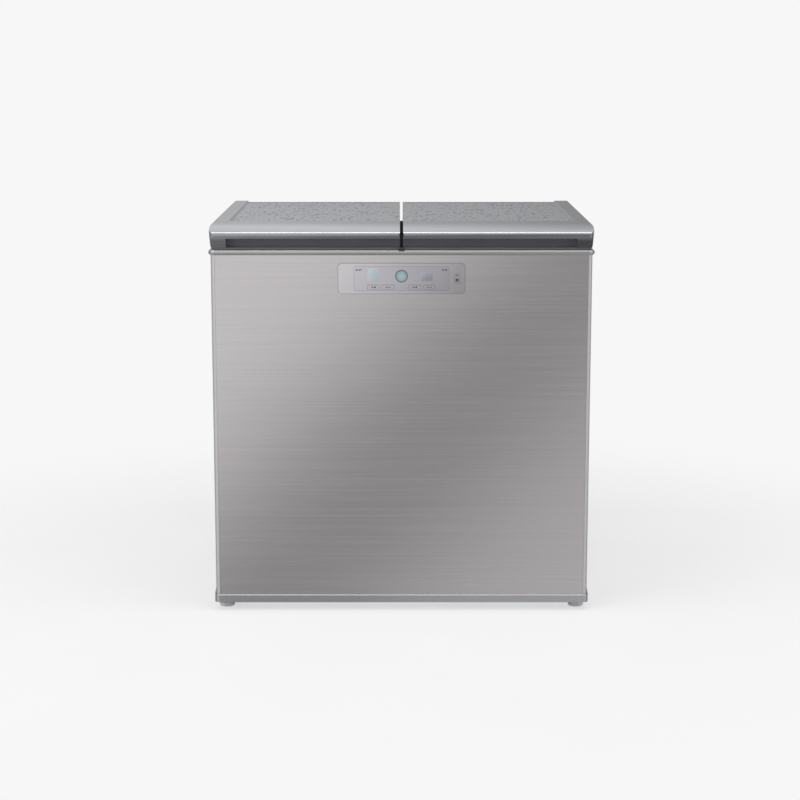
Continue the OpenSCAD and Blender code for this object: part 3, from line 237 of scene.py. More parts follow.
FINISHES["side_paint"] = sprayed_paint("side_panel_paint", srgb(196, 196, 198), 0.30,
                                       peel=0.000002, coat=0.0, silver=0.55)
FINISHES["zinc_steel"] = zinc_sheet("zinc_coated_sheet", srgb(196, 198, 200), 0.42)
FINISHES["hinge_paint"] = sprayed_paint("hinge_enamel", srgb(120, 121, 124), 0.35)
FINISHES["black_enamel"] = sprayed_paint("compressor_enamel", srgb(32, 33, 36), 0.25, peel=0.0001, coat=0.5)
print("finishes", len(FINISHES))

# %% [markdown]
# ## Painted shade and reflections on the moulded parts
#
# Some tones in the photograph would need a whole room to reflect, so they are painted into the colour. The
# lids' fronts mirror the dark under the camera, so a painted reflection darkens them below the nose, more
# so to the right and lowest down. The walls that face each other across the gap lie in shade and are
# painted nearly black. The control panel mirrors a room that is darker to the right, painted as a
# darkening towards that end. Each of these is painted shade or reflection on top of the finish, placed by
# the position and the direction of the surface.

# %% Painted shade and reflections
lid_low, lid_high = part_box("lid_frame_right")
half_gap = lid_low[0]
lid_top = lid_high[2]
nose_shade = (lid_top - 0.0144, lid_top - 0.0198)
lower_shade = (lid_top - 0.0246, lid_top - 0.0366)


def lid_shading(tree, base):
    """Paints shade on a lid's front below the nose, for the dark it reflects, and on the wall that faces
    the gap between the lids.
    """
    facing = add(tree, "SeparateXYZ", {0: add(tree, "NewGeometry").outputs["True Normal"]}).outputs
    at = position(tree)
    # Painted reflection: the front is darkened below the nose, more so to the right and lowest down.
    front = ranged(tree, facing[1], 1.0, 0.0, -0.70, -0.40)
    nose = ranged(tree, at[2], 0.0, 1.0, *nose_shade, "SMOOTHSTEP")
    lower = ranged(tree, at[2], 0.0, 1.0, *lower_shade, "SMOOTHSTEP")
    nose = math_node(tree, "MULTIPLY", nose, ranged(tree, at[0], 0.35, 0.58, -0.25, 0.25))
    lower = math_node(tree, "MULTIPLY", lower, 0.25)
    shade = math_node(tree, "MULTIPLY", front, math_node(tree, "ADD", nose, lower))
    base = mixed(tree, shade, base, BLACK)
    # Painted shade: the walls that face the gap between the lids are made nearly black.
    near = math_node(tree, "LESS_THAN", math_node(tree, "ABSOLUTE", at[0]), half_gap + 0.0006)
    sideways = math_node(tree, "GREATER_THAN", math_node(tree, "ABSOLUTE", facing[0]), 0.9)
    return mixed(tree, math_node(tree, "MULTIPLY", near, sideways), base, srgb(24, 25, 28))


def painted_reflection_rightwards(amount):
    """Makes painted reflection that darkens the control panel towards its right end, as a room darker to
    the right would.
    """
    def painted_shade(tree, base):
        return mixed(tree, ranged(tree, position(tree)[0], 0.0, amount, -0.12, 0.13), base, BLACK)
    return painted_shade


print("half gap", round(half_gap, 4), "lid top", round(lid_top, 4))

# %% [markdown]
# ## Moulded plastics
#
# The base strip, the rim, the lid frames, the feet and the control panel are moulded plastic, each with its
# own gloss. Plastic is seldom one flat colour: flow marks shift its tone slowly, a fine leather-like grain
# breaks its shine, and handling leaves faint smears in the gloss. One helper makes them all from the
# colour, the gloss and the depth of the grain. Silver plastic holds metal flakes, so it is shaded as metal,
# with weaker smears.

# %% Moulded plastic
def moulded(name, colour, roughness, texture=0.00003, grain_size=900, coat=0.0, flake=0.0, silver=0.0,
            painted_shade=None):
    material, tree, shader = new_finish(name, roughness, silver, coat=coat)
    flow = grain(tree, 5, (1, 1, 2.5), detail=3)
    smear = grain(tree, 26, (1, 2.2, 1), detail=5, rough=0.65, warp=0.6)
    base = mixed(tree, ranged(tree, flow, 0, 1), tone(colour, 0.965), tone(colour, 1.035))
    if flake:
        specks = add(tree, "TexVoronoi", {"Vector": place(tree), "Scale": 1500.0})
        shine = add(tree, "SeparateColor", {0: specks.outputs["Color"]}).outputs[0]
        base = mixed(tree, ranged(tree, shine, 0, flake, 0.2, 1.0), base, tone(colour, 1.35))
    # Painted shade or reflection, for the finishes that have it, goes on top of the colour.
    if painted_shade:
        base = painted_shade(tree, base)
    wire(tree, base, shader, "Base Color")
    spread = 0.05 if silver > 0.8 else 0.22
    wire(tree, ranged(tree, smear, roughness * (1 - spread), roughness * (1 + spread)), shader, "Roughness")
    bumped(tree, shader, grain(tree, grain_size, detail=1), texture, 0.5)
    return material


PLASTICS = {
    "lid_silver": dict(name="lid_silver_plastic", colour=srgb(184, 186, 191), roughness=0.20,
                       texture=0.000002, flake=0.1, silver=1.0, painted_shade=lid_shading),
    "rim_plastic": dict(name="rim_grey_plastic", colour=srgb(168, 168, 169), roughness=0.30,
                        texture=0.0000006, flake=0.05, silver=0.9),
    "base_plastic": dict(name="base_strip_plastic", colour=srgb(175, 174, 178), roughness=0.26,
                         texture=0.000001, flake=0.08, silver=0.85),
    "bezel_silver": dict(name="bezel_silver_plastic", colour=srgb(200, 199, 202), roughness=0.08,
                         texture=0.000002, flake=0.06, silver=1.0, painted_shade=painted_reflection_rightwards(0.15)),
    "window_film": dict(name="window_film", colour=srgb(198, 196, 202), roughness=0.07,
                        texture=0.0000015, silver=1.0, painted_shade=painted_reflection_rightwards(0.18)),
    "key_plastic": dict(name="key_plastic", colour=srgb(198, 196, 201), roughness=0.10,
                        texture=0.0000015, silver=1.0, painted_shade=painted_reflection_rightwards(0.18)),
    "ring_plastic": dict(name="button_ring_plastic", colour=srgb(118, 126, 138), roughness=0.25, coat=0.3),
    "lid_dark": dict(name="lid_pan_plastic", colour=srgb(98, 99, 105), roughness=0.45, texture=0.00004),
    "foot_plastic": dict(name="foot_plastic", colour=srgb(226, 226, 226), roughness=0.40),
    "dark_plastic": dict(name="dark_technical_plastic", colour=srgb(60, 61, 64), roughness=0.55,
                         texture=0.00008),
    "white_plastic": dict(name="white_technical_plastic", colour=srgb(226, 226, 222), roughness=0.45),
    "seal_rubber": dict(name="magnetic_seal_rubber", colour=srgb(44, 45, 48), roughness=0.7,
                        texture=0.00006, grain_size=500),
}
for slot, look in PLASTICS.items():
    FINISHES[slot] = moulded(**look)
print("finishes", len(FINISHES))

# %% [markdown]
# The rim is one moulding, but only its half-round bead looks silvery. The deck between the mouths is
# plainer plastic, so its Metallic value is lower wherever the surface lies inside the bead.

# %% Bead of the rim
rim_low, rim_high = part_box("top_frame")
bead_width = 0.009


def silver_bead(material):
    tree = material.node_tree
    at = position(tree)
    side = math_node(tree, "GREATER_THAN", math_node(tree, "ABSOLUTE", at[0]), rim_high[0] - bead_width)
    front = math_node(tree, "LESS_THAN", at[1], rim_low[1] + bead_width)
    bead = math_node(tree, "MAXIMUM", side, front)
    wire(tree, ranged(tree, bead, 0.25, 0.9, 0, 1), tree.nodes["Principled BSDF"], "Metallic")


silver_bead(FINISHES["rim_plastic"])
print("bead", bead_width, "wide round", round(rim_high[0] - rim_low[0], 3))

# %% [markdown]
# ## The teal button
#
# The round button is a lit translucent cap. Its own colour is teal, and its light is painted glow: pale
# teal in the middle, a little deeper towards its rim. Its tone is made from the distance to the button's
# centre line, which is a plain use of Object coordinates, and a fine pearly noise keeps it from looking
# flat.

# %% Teal button
def box_centre(low, high):
    return [(a + b) / 2 for a, b in zip(low, high)]


def teal_button():
    material, tree, shader = new_finish("button_teal_plastic", 0.2, coat=0.5)
    low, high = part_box("round_button")
    centre = box_centre(low, high)
    away = add(tree, "VectorMath", {0: place(tree), 1: centre}, operation="SUBTRACT").outputs[0]
    flat = add(tree, "VectorMath", {0: away, 1: (1, 0, 1)}, operation="MULTIPLY").outputs[0]
    reach = add(tree, "VectorMath", {0: flat}, operation="LENGTH").outputs["Value"]
    # Painted glow: paler in the middle, deeper towards the rim.
    deeper = ranged(tree, reach, 0, 1, 0.002, 0.0122)
    base = mixed(tree, deeper, srgb(168, 195, 201), srgb(136, 165, 173))
    pearl = grain(tree, 700, detail=2)
    wire(tree, mixed(tree, ranged(tree, pearl, 0, 0.25), base, srgb(196, 218, 222)), shader, "Base Color")
    bumped(tree, shader, pearl, 0.00001, 0.4)
    return material


FINISHES["button_teal"] = teal_button()
print("finish", FINISHES["button_teal"].name)

# %% [markdown]
# ## Patterned lid panels
#
# Each lid has a sunken panel with a fine embossed texture. The plain pattern here is made for this lesson:
# short strokes, longer from front to back than across, scattered by a Voronoi texture whose space is
# squeezed, with a finer set between them. Because the panel is seen almost edge-on, the strokes carry
# painted shade, a little darker colour, as well as a bump, or they would vanish. A row of faint dashes of
# painted shade follows the front edge, where the panel drops into its frame, and the rear edge is a little
# darker with painted shade.

# %% Embossed lid panel
def stroke_field(tree, width, length, radius, shift=0.0):
    """Height of scattered strokes of about the given size, 1 inside and 0 outside."""
    cell = place(tree, (1 / width, 1 / length, 0))
    cell = add(tree, "VectorMath", {0: cell, 1: (shift, shift, 0)}, operation="ADD").outputs[0]
    strokes = add(tree, "TexVoronoi", {"Vector": cell, "Scale": 1.0, "Randomness": 0.85})
    return ranged(tree, strokes.outputs["Distance"], 1.0, 0.0, radius * 0.55, radius, "SMOOTHSTEP")


def embossed_panel():
    material, tree, shader = new_finish("lid_embossed_panel", 0.34, 0.7)
    painted_edge_shade = srgb(84, 85, 89)
    front_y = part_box("lid_panel_left")[0][1]
    rear_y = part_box("lid_panel_left")[1][1]
    y = position(tree)[1]

    large = stroke_field(tree, 0.0115, 0.0380, 0.44)
    small = math_node(tree, "MULTIPLY", stroke_field(tree, 0.0065, 0.0240, 0.40, shift=7.3), 0.7)
    patches = ranged(tree, grain(tree, 14, detail=3), 0.40, 1.0, 0.36, 0.56)
    height = math_node(tree, "MULTIPLY", math_node(tree, "MAXIMUM", large, small), patches)
    # Painted shade: the strokes' relief also darkens the colour, or it would vanish edge-on.
    base = mixed(tree, math_node(tree, "MULTIPLY", height, 0.75), srgb(172, 173, 177), srgb(96, 97, 102))

    # Painted shade: faint dashes along the step where the panel drops into its frame.
    near = ranged(tree, y, 1.0, 0.0, front_y + 0.018, front_y + 0.034)
    dash = ranged(tree, grain(tree, 1.0, (70, 2, 0), detail=1), 0.0, 1.0, 0.42, 0.58)
    front_step_shade = math_node(tree, "MULTIPLY", math_node(tree, "MULTIPLY", near, dash), 0.6)
    base = mixed(tree, front_step_shade, base, painted_edge_shade)
    # Painted shade along the rear edge.
    base = mixed(tree, ranged(tree, y, 0.0, 0.45, rear_y - 0.045, rear_y - 0.020), base, painted_edge_shade)
    wire(tree, base, shader, "Base Color")
    wire(tree, ranged(tree, height, 0.34, 0.5, 0, 1), shader, "Roughness")
    bumped(tree, shader, math_node(tree, "SUBTRACT", 1.0, height), 0.0003, 0.5)
    return material


FINISHES["lid_pattern"] = embossed_panel()
print("finish", FINISHES["lid_pattern"].name)

# %% [markdown]
# ## Metal inside
#
# The compartments are lined with aluminium sheet that has a pebbled, stucco-like embossing, the usual
# finish for such a liner. Voronoi cells with soft edges give the pebbles. The refrigerant tubes are copper
# that has dulled in patches. Pins, axles, screws and the fan's motor are plated steel with a thin bloom.

# %% Aluminium, copper and plated steel
def stucco_aluminium():
    material, tree, shader = new_finish("stucco_aluminium", 0.34, 0.6)
    cells = add(tree, "TexVoronoi", {"Vector": place(tree), "Scale": 130.0}, feature="SMOOTH_F1")
    bloom = grain(tree, 8, detail=4)
    wire(tree, mixed(tree, ranged(tree, bloom, 0, 1), srgb(216, 217, 219), srgb(230, 231, 233)), shader,
         "Base Color")
    wire(tree, ranged(tree, bloom, 0.28, 0.42), shader, "Roughness")
    bumped(tree, shader, cells.outputs["Distance"], 0.0006, 0.5)
    return material


def dulled_metal(name, bright, dull, roughness, amount):
    material, tree, shader = new_finish(name, roughness, 1.0)
    patches = grain(tree, 45, detail=5, rough=0.65, warp=0.4)
    wire(tree, mixed(tree, ranged(tree, patches, 0, amount), bright, dull), shader, "Base Color")
    wire(tree, ranged(tree, patches, roughness * 0.75, roughness * 1.4), shader, "Roughness")
    bumped(tree, shader, grain(tree, 600, detail=1), 0.00002, 0.4)
    return material


FINISHES["liner_aluminium"] = stucco_aluminium()
FINISHES["copper"] = dulled_metal("dulled_copper", srgb(214, 140, 106), srgb(150, 92, 68), 0.3, 0.6)
FINISHES["plated_steel"] = dulled_metal("plated_steel", srgb(214, 214, 216), srgb(170, 170, 172), 0.24, 0.4)
print("finishes", len(FINISHES))

# %% [markdown]
# ## Foam and circuit boards
#
# The foam between the sheets is poured and shows small open cells where it is cut. The boards are green
# lacquer over copper tracks: a coarse square pattern of tracks, made by rounding the coordinates, is enough
# at this size.

# %% Foam and board
def poured_foam():
    material, tree, shader = new_finish("poured_foam", 0.9, specular=0.2)
    cells = add(tree, "TexVoronoi", {"Vector": place(tree), "Scale": 380.0}).outputs["Distance"]
    skin = ranged(tree, grain(tree, 14, detail=4), 0, 1)
    base = mixed(tree, skin, srgb(232, 218, 168), srgb(214, 194, 138))
    base = mixed(tree, ranged(tree, cells, 0, 0.4, 0.1, 0.7), base, srgb(176, 152, 98))
    wire(tree, base, shader, "Base Color")
    bumped(tree, shader, cells, 0.0006, 0.7)
    return material


def board_lacquer():
    material, tree, shader = new_finish("board_lacquer", 0.3, coat=0.3)
    track_width = (0.004, 0.004, 0.004)
    snapped = add(tree, "VectorMath", {0: place(tree), 1: track_width}, operation="SNAP").outputs[0]
    tracks = add(tree, "TexWhiteNoise", {"Vector": snapped}, noise_dimensions="3D").outputs["Value"]
    copper = ranged(tree, tracks, 0, 1, 0.62, 0.68)
    wire(tree, mixed(tree, copper, srgb(24, 92, 58), srgb(46, 128, 84)), shader, "Base Color")
    bumped(tree, shader, tracks, 0.00004, 0.6)
    return material


FINISHES["foam"] = poured_foam()
FINISHES["circuit_board"] = board_lacquer()
print("finishes", len(FINISHES))

# %% [markdown]
# ## Giving each solid its finish
#
# The record names one material slot for every solid. Walking through that list and setting the finish on
# the object's material slots dresses the whole model at once, and nothing is left with the importer's plain
# material.

# %% Dress the solids
slot_of = {part["node"]: part["material_slot"] for part in frame["record"]["subparts"]}
for node_name, solid in frame["nodes"].items():
    solid.data.materials.clear()
    solid.data.materials.append(FINISHES[slot_of[node_name]])
print("dressed", len(slot_of), "solids with", len(FINISHES), "finishes")

# %% [markdown]
# ## Tools for modelling by hand
#
# The small marks are modelled as one would at the screen: add a primitive, go into edit mode, pick faces or
# edges, and extrude, inset or bevel them. A script can't click, so the first helpers pick by place and
# direction: faces by their middle and normal, and edges by their middle and the way they run.

# %% Pick faces and edges
def clear_selection():
    if bpy.context.object and bpy.context.object.mode != "OBJECT":
        bpy.ops.object.mode_set(mode="OBJECT")
    bpy.ops.object.select_all(action="DESELECT")


def select_only(piece, kind, test):
    """In edit mode, selects only the faces or edges that pass the test."""
    bpy.context.tool_settings.mesh_select_mode = (False, kind == "edges", kind == "faces")
    mesh = bmesh.from_edit_mesh(piece.data)
    for part in [*mesh.verts, *mesh.edges, *mesh.faces]:
        part.select = False
    for part in (mesh.faces if kind == "faces" else mesh.edges):
        if test(part):
            part.select_set(True)
    mesh.select_flush_mode()
    bmesh.update_edit_mesh(piece.data)


def pick_faces(piece, test):
    select_only(piece, "faces", lambda face: test(face.calc_center_median(), face.normal))


def pick_edges(piece, test):
    def edge_test(edge):
        start, end = [vertex.co for vertex in edge.verts]
        return test((start + end) / 2, (end - start).normalized())
    select_only(piece, "edges", edge_test)


print("picking ready")

# %% [markdown]
# The next helpers start a piece as a box, round its corners, join parts and finish the whole. Every
# finished piece has its place applied, so its object sits at the origin as the solids do.

# %% Start, join and finish a piece
def start_box(name, low, high):
    """A cube primitive stretched over the given corners, in edit mode, ready to be shaped."""
    clear_selection()
    size = [b - a for a, b in zip(low, high)]
    bpy.ops.mesh.primitive_cube_add(size=1, location=box_centre(low, high), scale=size)
    piece = bpy.context.object
    piece.name = piece.data.name = name
    bpy.ops.object.transform_apply(location=True, rotation=True, scale=True)
    bpy.ops.object.mode_set(mode="EDIT")
    return piece


def round_corners(piece, radius, segments):
    """Bevels the edges that run from front to back."""
    pick_edges(piece, lambda middle, along: abs(along.y) > 0.9)
    bpy.ops.mesh.bevel(offset=radius, segments=segments, affect="EDGES")


def joined(name, pieces):
    """Joins several pieces into one mesh with the given name."""
    clear_selection()
    for piece in pieces:
        piece.select_set(True)
    bpy.context.view_layer.objects.active = pieces[0]
    if len(pieces) > 1:
        bpy.ops.object.join()
    whole = bpy.context.object
    whole.name = whole.data.name = name
    bpy.ops.object.transform_apply(location=True, rotation=True, scale=True)
    return whole


def finished(piece, body, material):
    """Leaves edit mode, shades the piece, gives it its finish and lets it ride on its body."""
    clear_selection()
    piece.select_set(True)
    bpy.context.view_layer.objects.active = piece
    bpy.ops.object.shade_smooth_by_angle(angle=math.radians(35))
    piece.data.materials.clear()
    piece.data.materials.append(material)
    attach(piece, body)
    bpy.ops.object.select_all(action="DESELECT")
    print("piece", piece.name, len(piece.data.polygons), "faces")


print("modelling helpers ready")

# %% [markdown]
# ## Places on the control panel
#
# The marks sit on the window, the keys and the lock key, so their places come from those solids' own boxes.
# The window's face is its lowest Y, because the front faces -Y.

# %% Measure the panel
window_low, window_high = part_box("display_window")
window_face = window_low[1]
key_boxes = [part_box(f"key_{n}") for n in range(1, 5)]
lock_low, lock_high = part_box("lock_key")
key_places = [round(box_centre(*box)[0], 4) for box in key_boxes]
print("window face", round(window_face, 4), "keys at", key_places)

# %% [markdown]
# All the marks share one printing ink, a dull grey that is a little uneven, as ink on film is.

# %% Printing ink
def printed_ink():
    material, tree, shader = new_finish("panel_ink", 0.5)
    patch = grain(tree, 900, detail=2)
    base = mixed(tree, ranged(tree, patch, 0, 1), srgb(70, 68, 74), srgb(104, 100, 108))
    wire(tree, base, shader, "Base Color")
    bumped(tree, shader, patch, 0.00002, 0.4)
    return material


ink = printed_ink()
print("finish", ink.name)

# %% [markdown]
# ## Outlines round the keys
#
# A thin printed frame with rounded corners marks each key. It starts as a flat box around the key. The
# edges at its four corners are beveled round, and the front face is inset by the width of the line. The
# face inside that line and the one at the back are then deleted, so that only the frame is left.

# %% Key outlines
outline_margin = 0.0016
outline_corner = 0.0026
outline_width = 0.0003


def around(low, high, margin, face, back):
    """Corners of a box that reaches past another one on its four sides, and from face to back in depth."""
    return (low[0] - margin, face, low[2] - margin), (high[0] + margin, back, high[2] + margin)


def is_central(middle, low, high):
    """Whether a face lies in the middle of a box, as seen from the front."""
    centre = box_centre(low, high)
    return abs(middle.x - centre[0]) < 0.002 and abs(middle.z - centre[2]) < 0.002


def key_outline(name, low, high):
    corners = around(low, high, outline_margin, window_face - 0.0001, window_face + 0.0002)
    piece = start_box(name, *corners)
    round_corners(piece, outline_corner, 5)
    pick_faces(piece, lambda middle, normal: normal.y < -0.9)
    bpy.ops.mesh.inset(thickness=outline_width, depth=0)
    pick_faces(piece, lambda middle, normal: normal.y < -0.9 and is_central(middle, low, high))
    bpy.ops.mesh.delete(type="FACE")
    pick_faces(piece, lambda middle, normal: normal.y > 0.9)
    bpy.ops.mesh.delete(type="FACE")
    return piece


outlines = []
for index, (low, high) in enumerate(key_boxes, 1):
    outlines.append(key_outline(f"key_outline_{index}", low, high))
finished(joined("key_outlines", outlines), "cabinet", ink)

# %% [markdown]
# ## Marks on the keys
#
# Plain arrows and signs mark the keys. Each mark is a thin prism on its key's face and rides with the key.
# An arrowhead is a cylinder with three sides, turned over when it points down. A plus or minus is made of
# boxes with their ends beveled round.

# %% Key marks
mark_depth = 0.0003
sign_long, sign_thick = 0.0056, 0.0017
sign_shift = 0.0030
arrow_radius = 0.0028
arrow_shift = (-0.0036, -0.0003)


def arrow(name, x, z, face, up):
    clear_selection()
    turn = (math.radians(90), 0 if up else math.radians(180), 0)
    bpy.ops.mesh.primitive_cylinder_add(vertices=3, radius=arrow_radius, depth=mark_depth,
                                        location=(x, face, z), rotation=turn)
    piece = bpy.context.object
    piece.name = piece.data.name = name
    bpy.ops.object.transform_apply(location=True, rotation=True, scale=True)
    bpy.ops.object.mode_set(mode="EDIT")
    round_corners(piece, 0.0003, 3)
    return piece


def bar(name, x, z, face, wide, tall):
    low = (x - wide / 2, face - mark_depth / 2, z - tall / 2)
    high = (x + wide / 2, face + mark_depth / 2, z + tall / 2)
    piece = start_box(name, low, high)
    round_corners(piece, min(wide, tall) * 0.32, 4)
    return piece


for index, (low, high) in enumerate(key_boxes, 1):
    x, _, z = box_centre(low, high)
    face = low[1]
    raises = index in (1, 3)
    parts = [bar(f"mark_bar_{index}", x + sign_shift, z, face, sign_long, sign_thick)]
    if raises:
        parts.append(bar(f"mark_cross_{index}", x + sign_shift, z, face, sign_thick, sign_long))
    parts.append(arrow(f"mark_arrow_{index}", x + arrow_shift[0], z + arrow_shift[1], face, raises))
    finished(joined(f"key_mark_{index}", parts), f"key_{index}", ink)

# %% [markdown]
# ## The padlock on the lock key
#
# A padlock is a plain sign for the child lock. The body is a small box with beveled corners, and the
# shackle is a narrow bar spun through half a turn. Spin turns the selected face round a centre and leaves a
# bent tube, which is how one would bend the real wire. The far leg is extruded down as far as the near one,
# and a dot stands above.

# %% Padlock
padlock_drop = 0.0035


def padlock():
    x, _, z = box_centre(lock_low, lock_high)
    z = z - padlock_drop
    face = lock_low[1]
    front, back = face - 0.00018, face + 0.0002
    half = 0.0036
    bend, leg = z + 0.0036, 0.0020
    outside, inside = 0.0027, 0.0016
    body = start_box("padlock_body", (x - half, front, z - half), (x + half, back, z + 0.0020))
    round_corners(body, 0.0007, 4)
    shackle = start_box("padlock_shackle", (x - outside, front, bend - leg), (x - inside, back, bend))
    pick_faces(shackle, lambda middle, normal: normal.z > 0.9)
    bpy.ops.mesh.spin(steps=12, angle=math.radians(180), center=(x, face, bend), axis=(0, 1, 0))
    pick_faces(shackle, lambda middle, normal: normal.z < -0.9 and middle.x > x)
    bpy.ops.mesh.extrude_region_move(TRANSFORM_OT_translate={"value": (0, 0, -leg)})
    pick_faces(shackle, lambda middle, normal: True)
    bpy.ops.mesh.remove_doubles(threshold=0.00002)
    bpy.ops.mesh.normals_make_consistent(inside=False)
    dot = bar("padlock_dot", x, z + 0.0110, face, 0.0050, 0.0022)
    return joined("lock_mark", [body, shackle, dot])


finished(padlock(), "lock_key", ink)

# %% [markdown]
# ## Display fields
#
# Two faint fields show in the window, one teal and one bluish grey, where the displays light up. They are
# thin plates with rounded corners, a hair proud of the film so that they don't flicker with it. Their
# places count from the middle of the panel and from the window's upper edge.

# %% Display fields
def field(name, left, right, drop, tall):
    """A plate from left to right, whose upper edge lies drop below the window's."""
    top = window_high[2] - drop
    piece = start_box(name, (left, window_face - 0.00012, top - tall), (right, window_face + 0.0003, top))
    round_corners(piece, 0.0022, 5)
    pick_faces(piece, lambda middle, normal: normal.y < -0.9)
    bpy.ops.mesh.inset(thickness=0.0006, depth=0.00004)
    return piece


def display_finish(name, colour, cloudy):
    material, tree, shader = new_finish(name, 0.09, 1.0)
    inputs = {"Vector": place(tree), "Scale": 140.0, "Distortion": 0.0}
    waves = add(tree, "TexWave", inputs, bands_direction="Z")
    rows = math_node(tree, "MULTIPLY", waves.outputs["Fac"], 0.12)
    cloud = grain(tree, 60, detail=3)
    base = mixed(tree, ranged(tree, cloud, 0, 1), colour, cloudy)
    wire(tree, mixed(tree, rows, base, tone(colour, 0.8)), shader, "Base Color")
    bumped(tree, shader, cloud, 0.00001, 0.3)
    return material


teal_display = display_finish("display_teal", srgb(186, 205, 209), srgb(202, 208, 214))
blue_display = display_finish("display_blue", srgb(176, 181, 190), srgb(184, 186, 194))
left_field = field("display_left", -0.0779, -0.0536, drop=0.0048, tall=0.0305)
finished(left_field, "cabinet", teal_display)
right_field = field("display_right", 0.0435, 0.0718, drop=0.0137, tall=0.0200)
finished(right_field, "cabinet", blue_display)

# %% [markdown]
# ## Small marks on the window
#
# A dot and two short bars stand in each upper corner, and two tiny lamps sit below the round button. The
# list gives each corner mark's distance from the window's side and upper edge, and its width and height.

# %% Corner marks and lamps
corner_marks = (("corner_dot", 0.0068, 0.0083, 0.0042, 0.0040),
                ("corner_bar", 0.0143, 0.0073, 0.0072, 0.0014),
                ("corner_bar_short", 0.0133, 0.0097, 0.0050, 0.0012))
lamp_spread = 0.0085
lamp_height = window_low[2] + 0.0059

marks = []
for side in (-1, 1):
    for name, inset, drop, wide, tall in corner_marks:
        x = side * (window_high[0] - inset)
        marks.append(bar(name, x, window_high[2] - drop, window_face, wide, tall))
for side in (-1, 1):
    marks.append(bar("button_lamp", side * lamp_spread, lamp_height, window_face, 0.0024, 0.0012))
finished(joined("panel_marks", marks), "cabinet", ink)

# %% [markdown]
# ## Edges of the control panel
#
# A narrow dark line of painted shade runs round the bezel, for the shadow where it sits on the steel, and a
# finer one round the window.
# Each is a flat ring: a box with rounded corners whose front and back are inset, and whose two middle faces
# are then bridged, which opens a hole through the box.

# %% Panel edges
bezel_line = 0.0012
window_line = 0.0008
window_margin = 0.0003


def edge_ring(name, corners, radius, line):
    piece = start_box(name, *corners)
    round_corners(piece, radius, 8)
    pick_faces(piece, lambda middle, normal: abs(normal.y) > 0.9)
    bpy.ops.mesh.inset(thickness=line, depth=0)
    pick_faces(piece, lambda middle, normal: abs(normal.y) > 0.9 and is_central(middle, *corners))
    bpy.ops.mesh.bridge_edge_loops()
    return piece


bezel_low, bezel_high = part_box("control_bezel")
steel_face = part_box("front_panel")[0][1]
bezel_corners = around(bezel_low, bezel_high, bezel_line, steel_face - 0.0008, steel_face + 0.0002)
window_corners = around(window_low, window_high, window_margin, window_face - 0.0001, window_face + 0.0004)
# Painted shade: the ring round the bezel stands for the shadow in the gap where it meets the steel.
outer = edge_ring("bezel_edge", bezel_corners, 0.0106, bezel_line)
inner = edge_ring("window_edge", window_corners, 0.0050, window_line)
edge_grey = moulded("panel_edge_grey", srgb(150, 150, 153), 0.2, texture=0.000002, silver=0.9)
finished(joined("panel_edges", [outer, inner]), "cabinet", edge_grey)

# %% [markdown]
# ## Painted shade between the lids
#
# Seen from the front, the gap between the lids is black down to the rim, where it lies in shade. A thin
# strip of the dark rubber finish lies along the rim there as painted shade and ends in a small stop at the
# front: a long box and a short one, both with their upper edges beveled.

# %% Gap shade strip
rim_front = rim_low[1]
rim_top = rim_high[2]
strip_half = half_gap - 0.0003
stop_half = 0.0066


def soft_topped(name, low, high):
    """A box with all its upper edges beveled."""
    piece = start_box(name, low, high)
    pick_edges(piece, lambda middle, along: middle.z > high[2] - 1e-5)
    bpy.ops.mesh.bevel(offset=0.0008, segments=3, affect="EDGES")
    return piece


# Painted shade: a dark strip put in the gap where there is only shade.
run = soft_topped("gap_shade_strip_run", (-strip_half, rim_front + 0.010, rim_top - 0.0005),
                  (strip_half, lid_high[1] - 0.004, rim_top + 0.0024))
stop = soft_topped("gap_shade_strip_stop", (-stop_half, rim_front + 0.0008, rim_top - 0.0056),
                   (stop_half, rim_front + 0.0072, rim_top + 0.0048))
finished(joined("gap_shade_strip", [run, stop]), "cabinet", FINISHES["seal_rubber"])

# %% [markdown]
# ## Screws on the hinge brackets
#
# Each hinge bracket is screwed to the back. A screw head is a short cylinder whose outer edge is beveled
# into a low dome, with a small round recess: the end face is inset twice and its middle pushed in. The head
# is modelled once and copied, each copy with its own mesh. The hinges stand equally far in from both ends
# of a lid, with two screws side by side in each bracket.

# %% Bracket screws
head_radius = 0.0042
head_depth = 0.0022
bracket_thickness = 0.003
hinge_width = 0.050
hinge_inset = 0.075


def screw_head(name):
    clear_selection()
    bpy.ops.mesh.primitive_cylinder_add(vertices=32, radius=head_radius, depth=head_depth,
                                        rotation=(math.radians(-90), 0, 0))
    piece = bpy.context.object
    bpy.ops.object.transform_apply(location=True, rotation=True, scale=True)
    piece.name = piece.data.name = name
    bpy.ops.object.mode_set(mode="EDIT")
    pick_edges(piece, lambda middle, along: middle.y > 0.001 and abs(along.y) < 0.5)
    bpy.ops.mesh.bevel(offset=head_depth / 2, segments=4, affect="EDGES")
    pick_faces(piece, lambda middle, normal: normal.y > 0.95)
    bpy.ops.mesh.inset(thickness=0.0014, depth=0)
    pick_faces(piece, lambda middle, normal: normal.y > 0.95 and middle.xz.length < 0.0004)
    bpy.ops.mesh.inset(thickness=0.0004, depth=-0.0009)
    clear_selection()
    return piece


bracket_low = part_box("hinge_brackets")[0]
bracket_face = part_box("back_panel")[1][1] + bracket_thickness
screw_height = bracket_low[2] + 0.010
master = screw_head("screw_master")
heads = []
for hinge_x in (lid_low[0] + hinge_inset, lid_high[0] - hinge_inset):
    for side in (-1, 1):
        for across in (-1, 1):
            head = master.copy()
            head.data = master.data.copy()
            bpy.context.scene.collection.objects.link(head)
            x = side * hinge_x + across * hinge_width / 3
            head.location = (x, bracket_face + head_depth / 2, screw_height)
            heads.append(head)
bpy.data.objects.remove(master)
finished(joined("bracket_screws", heads), "cabinet", FINISHES["plated_steel"])

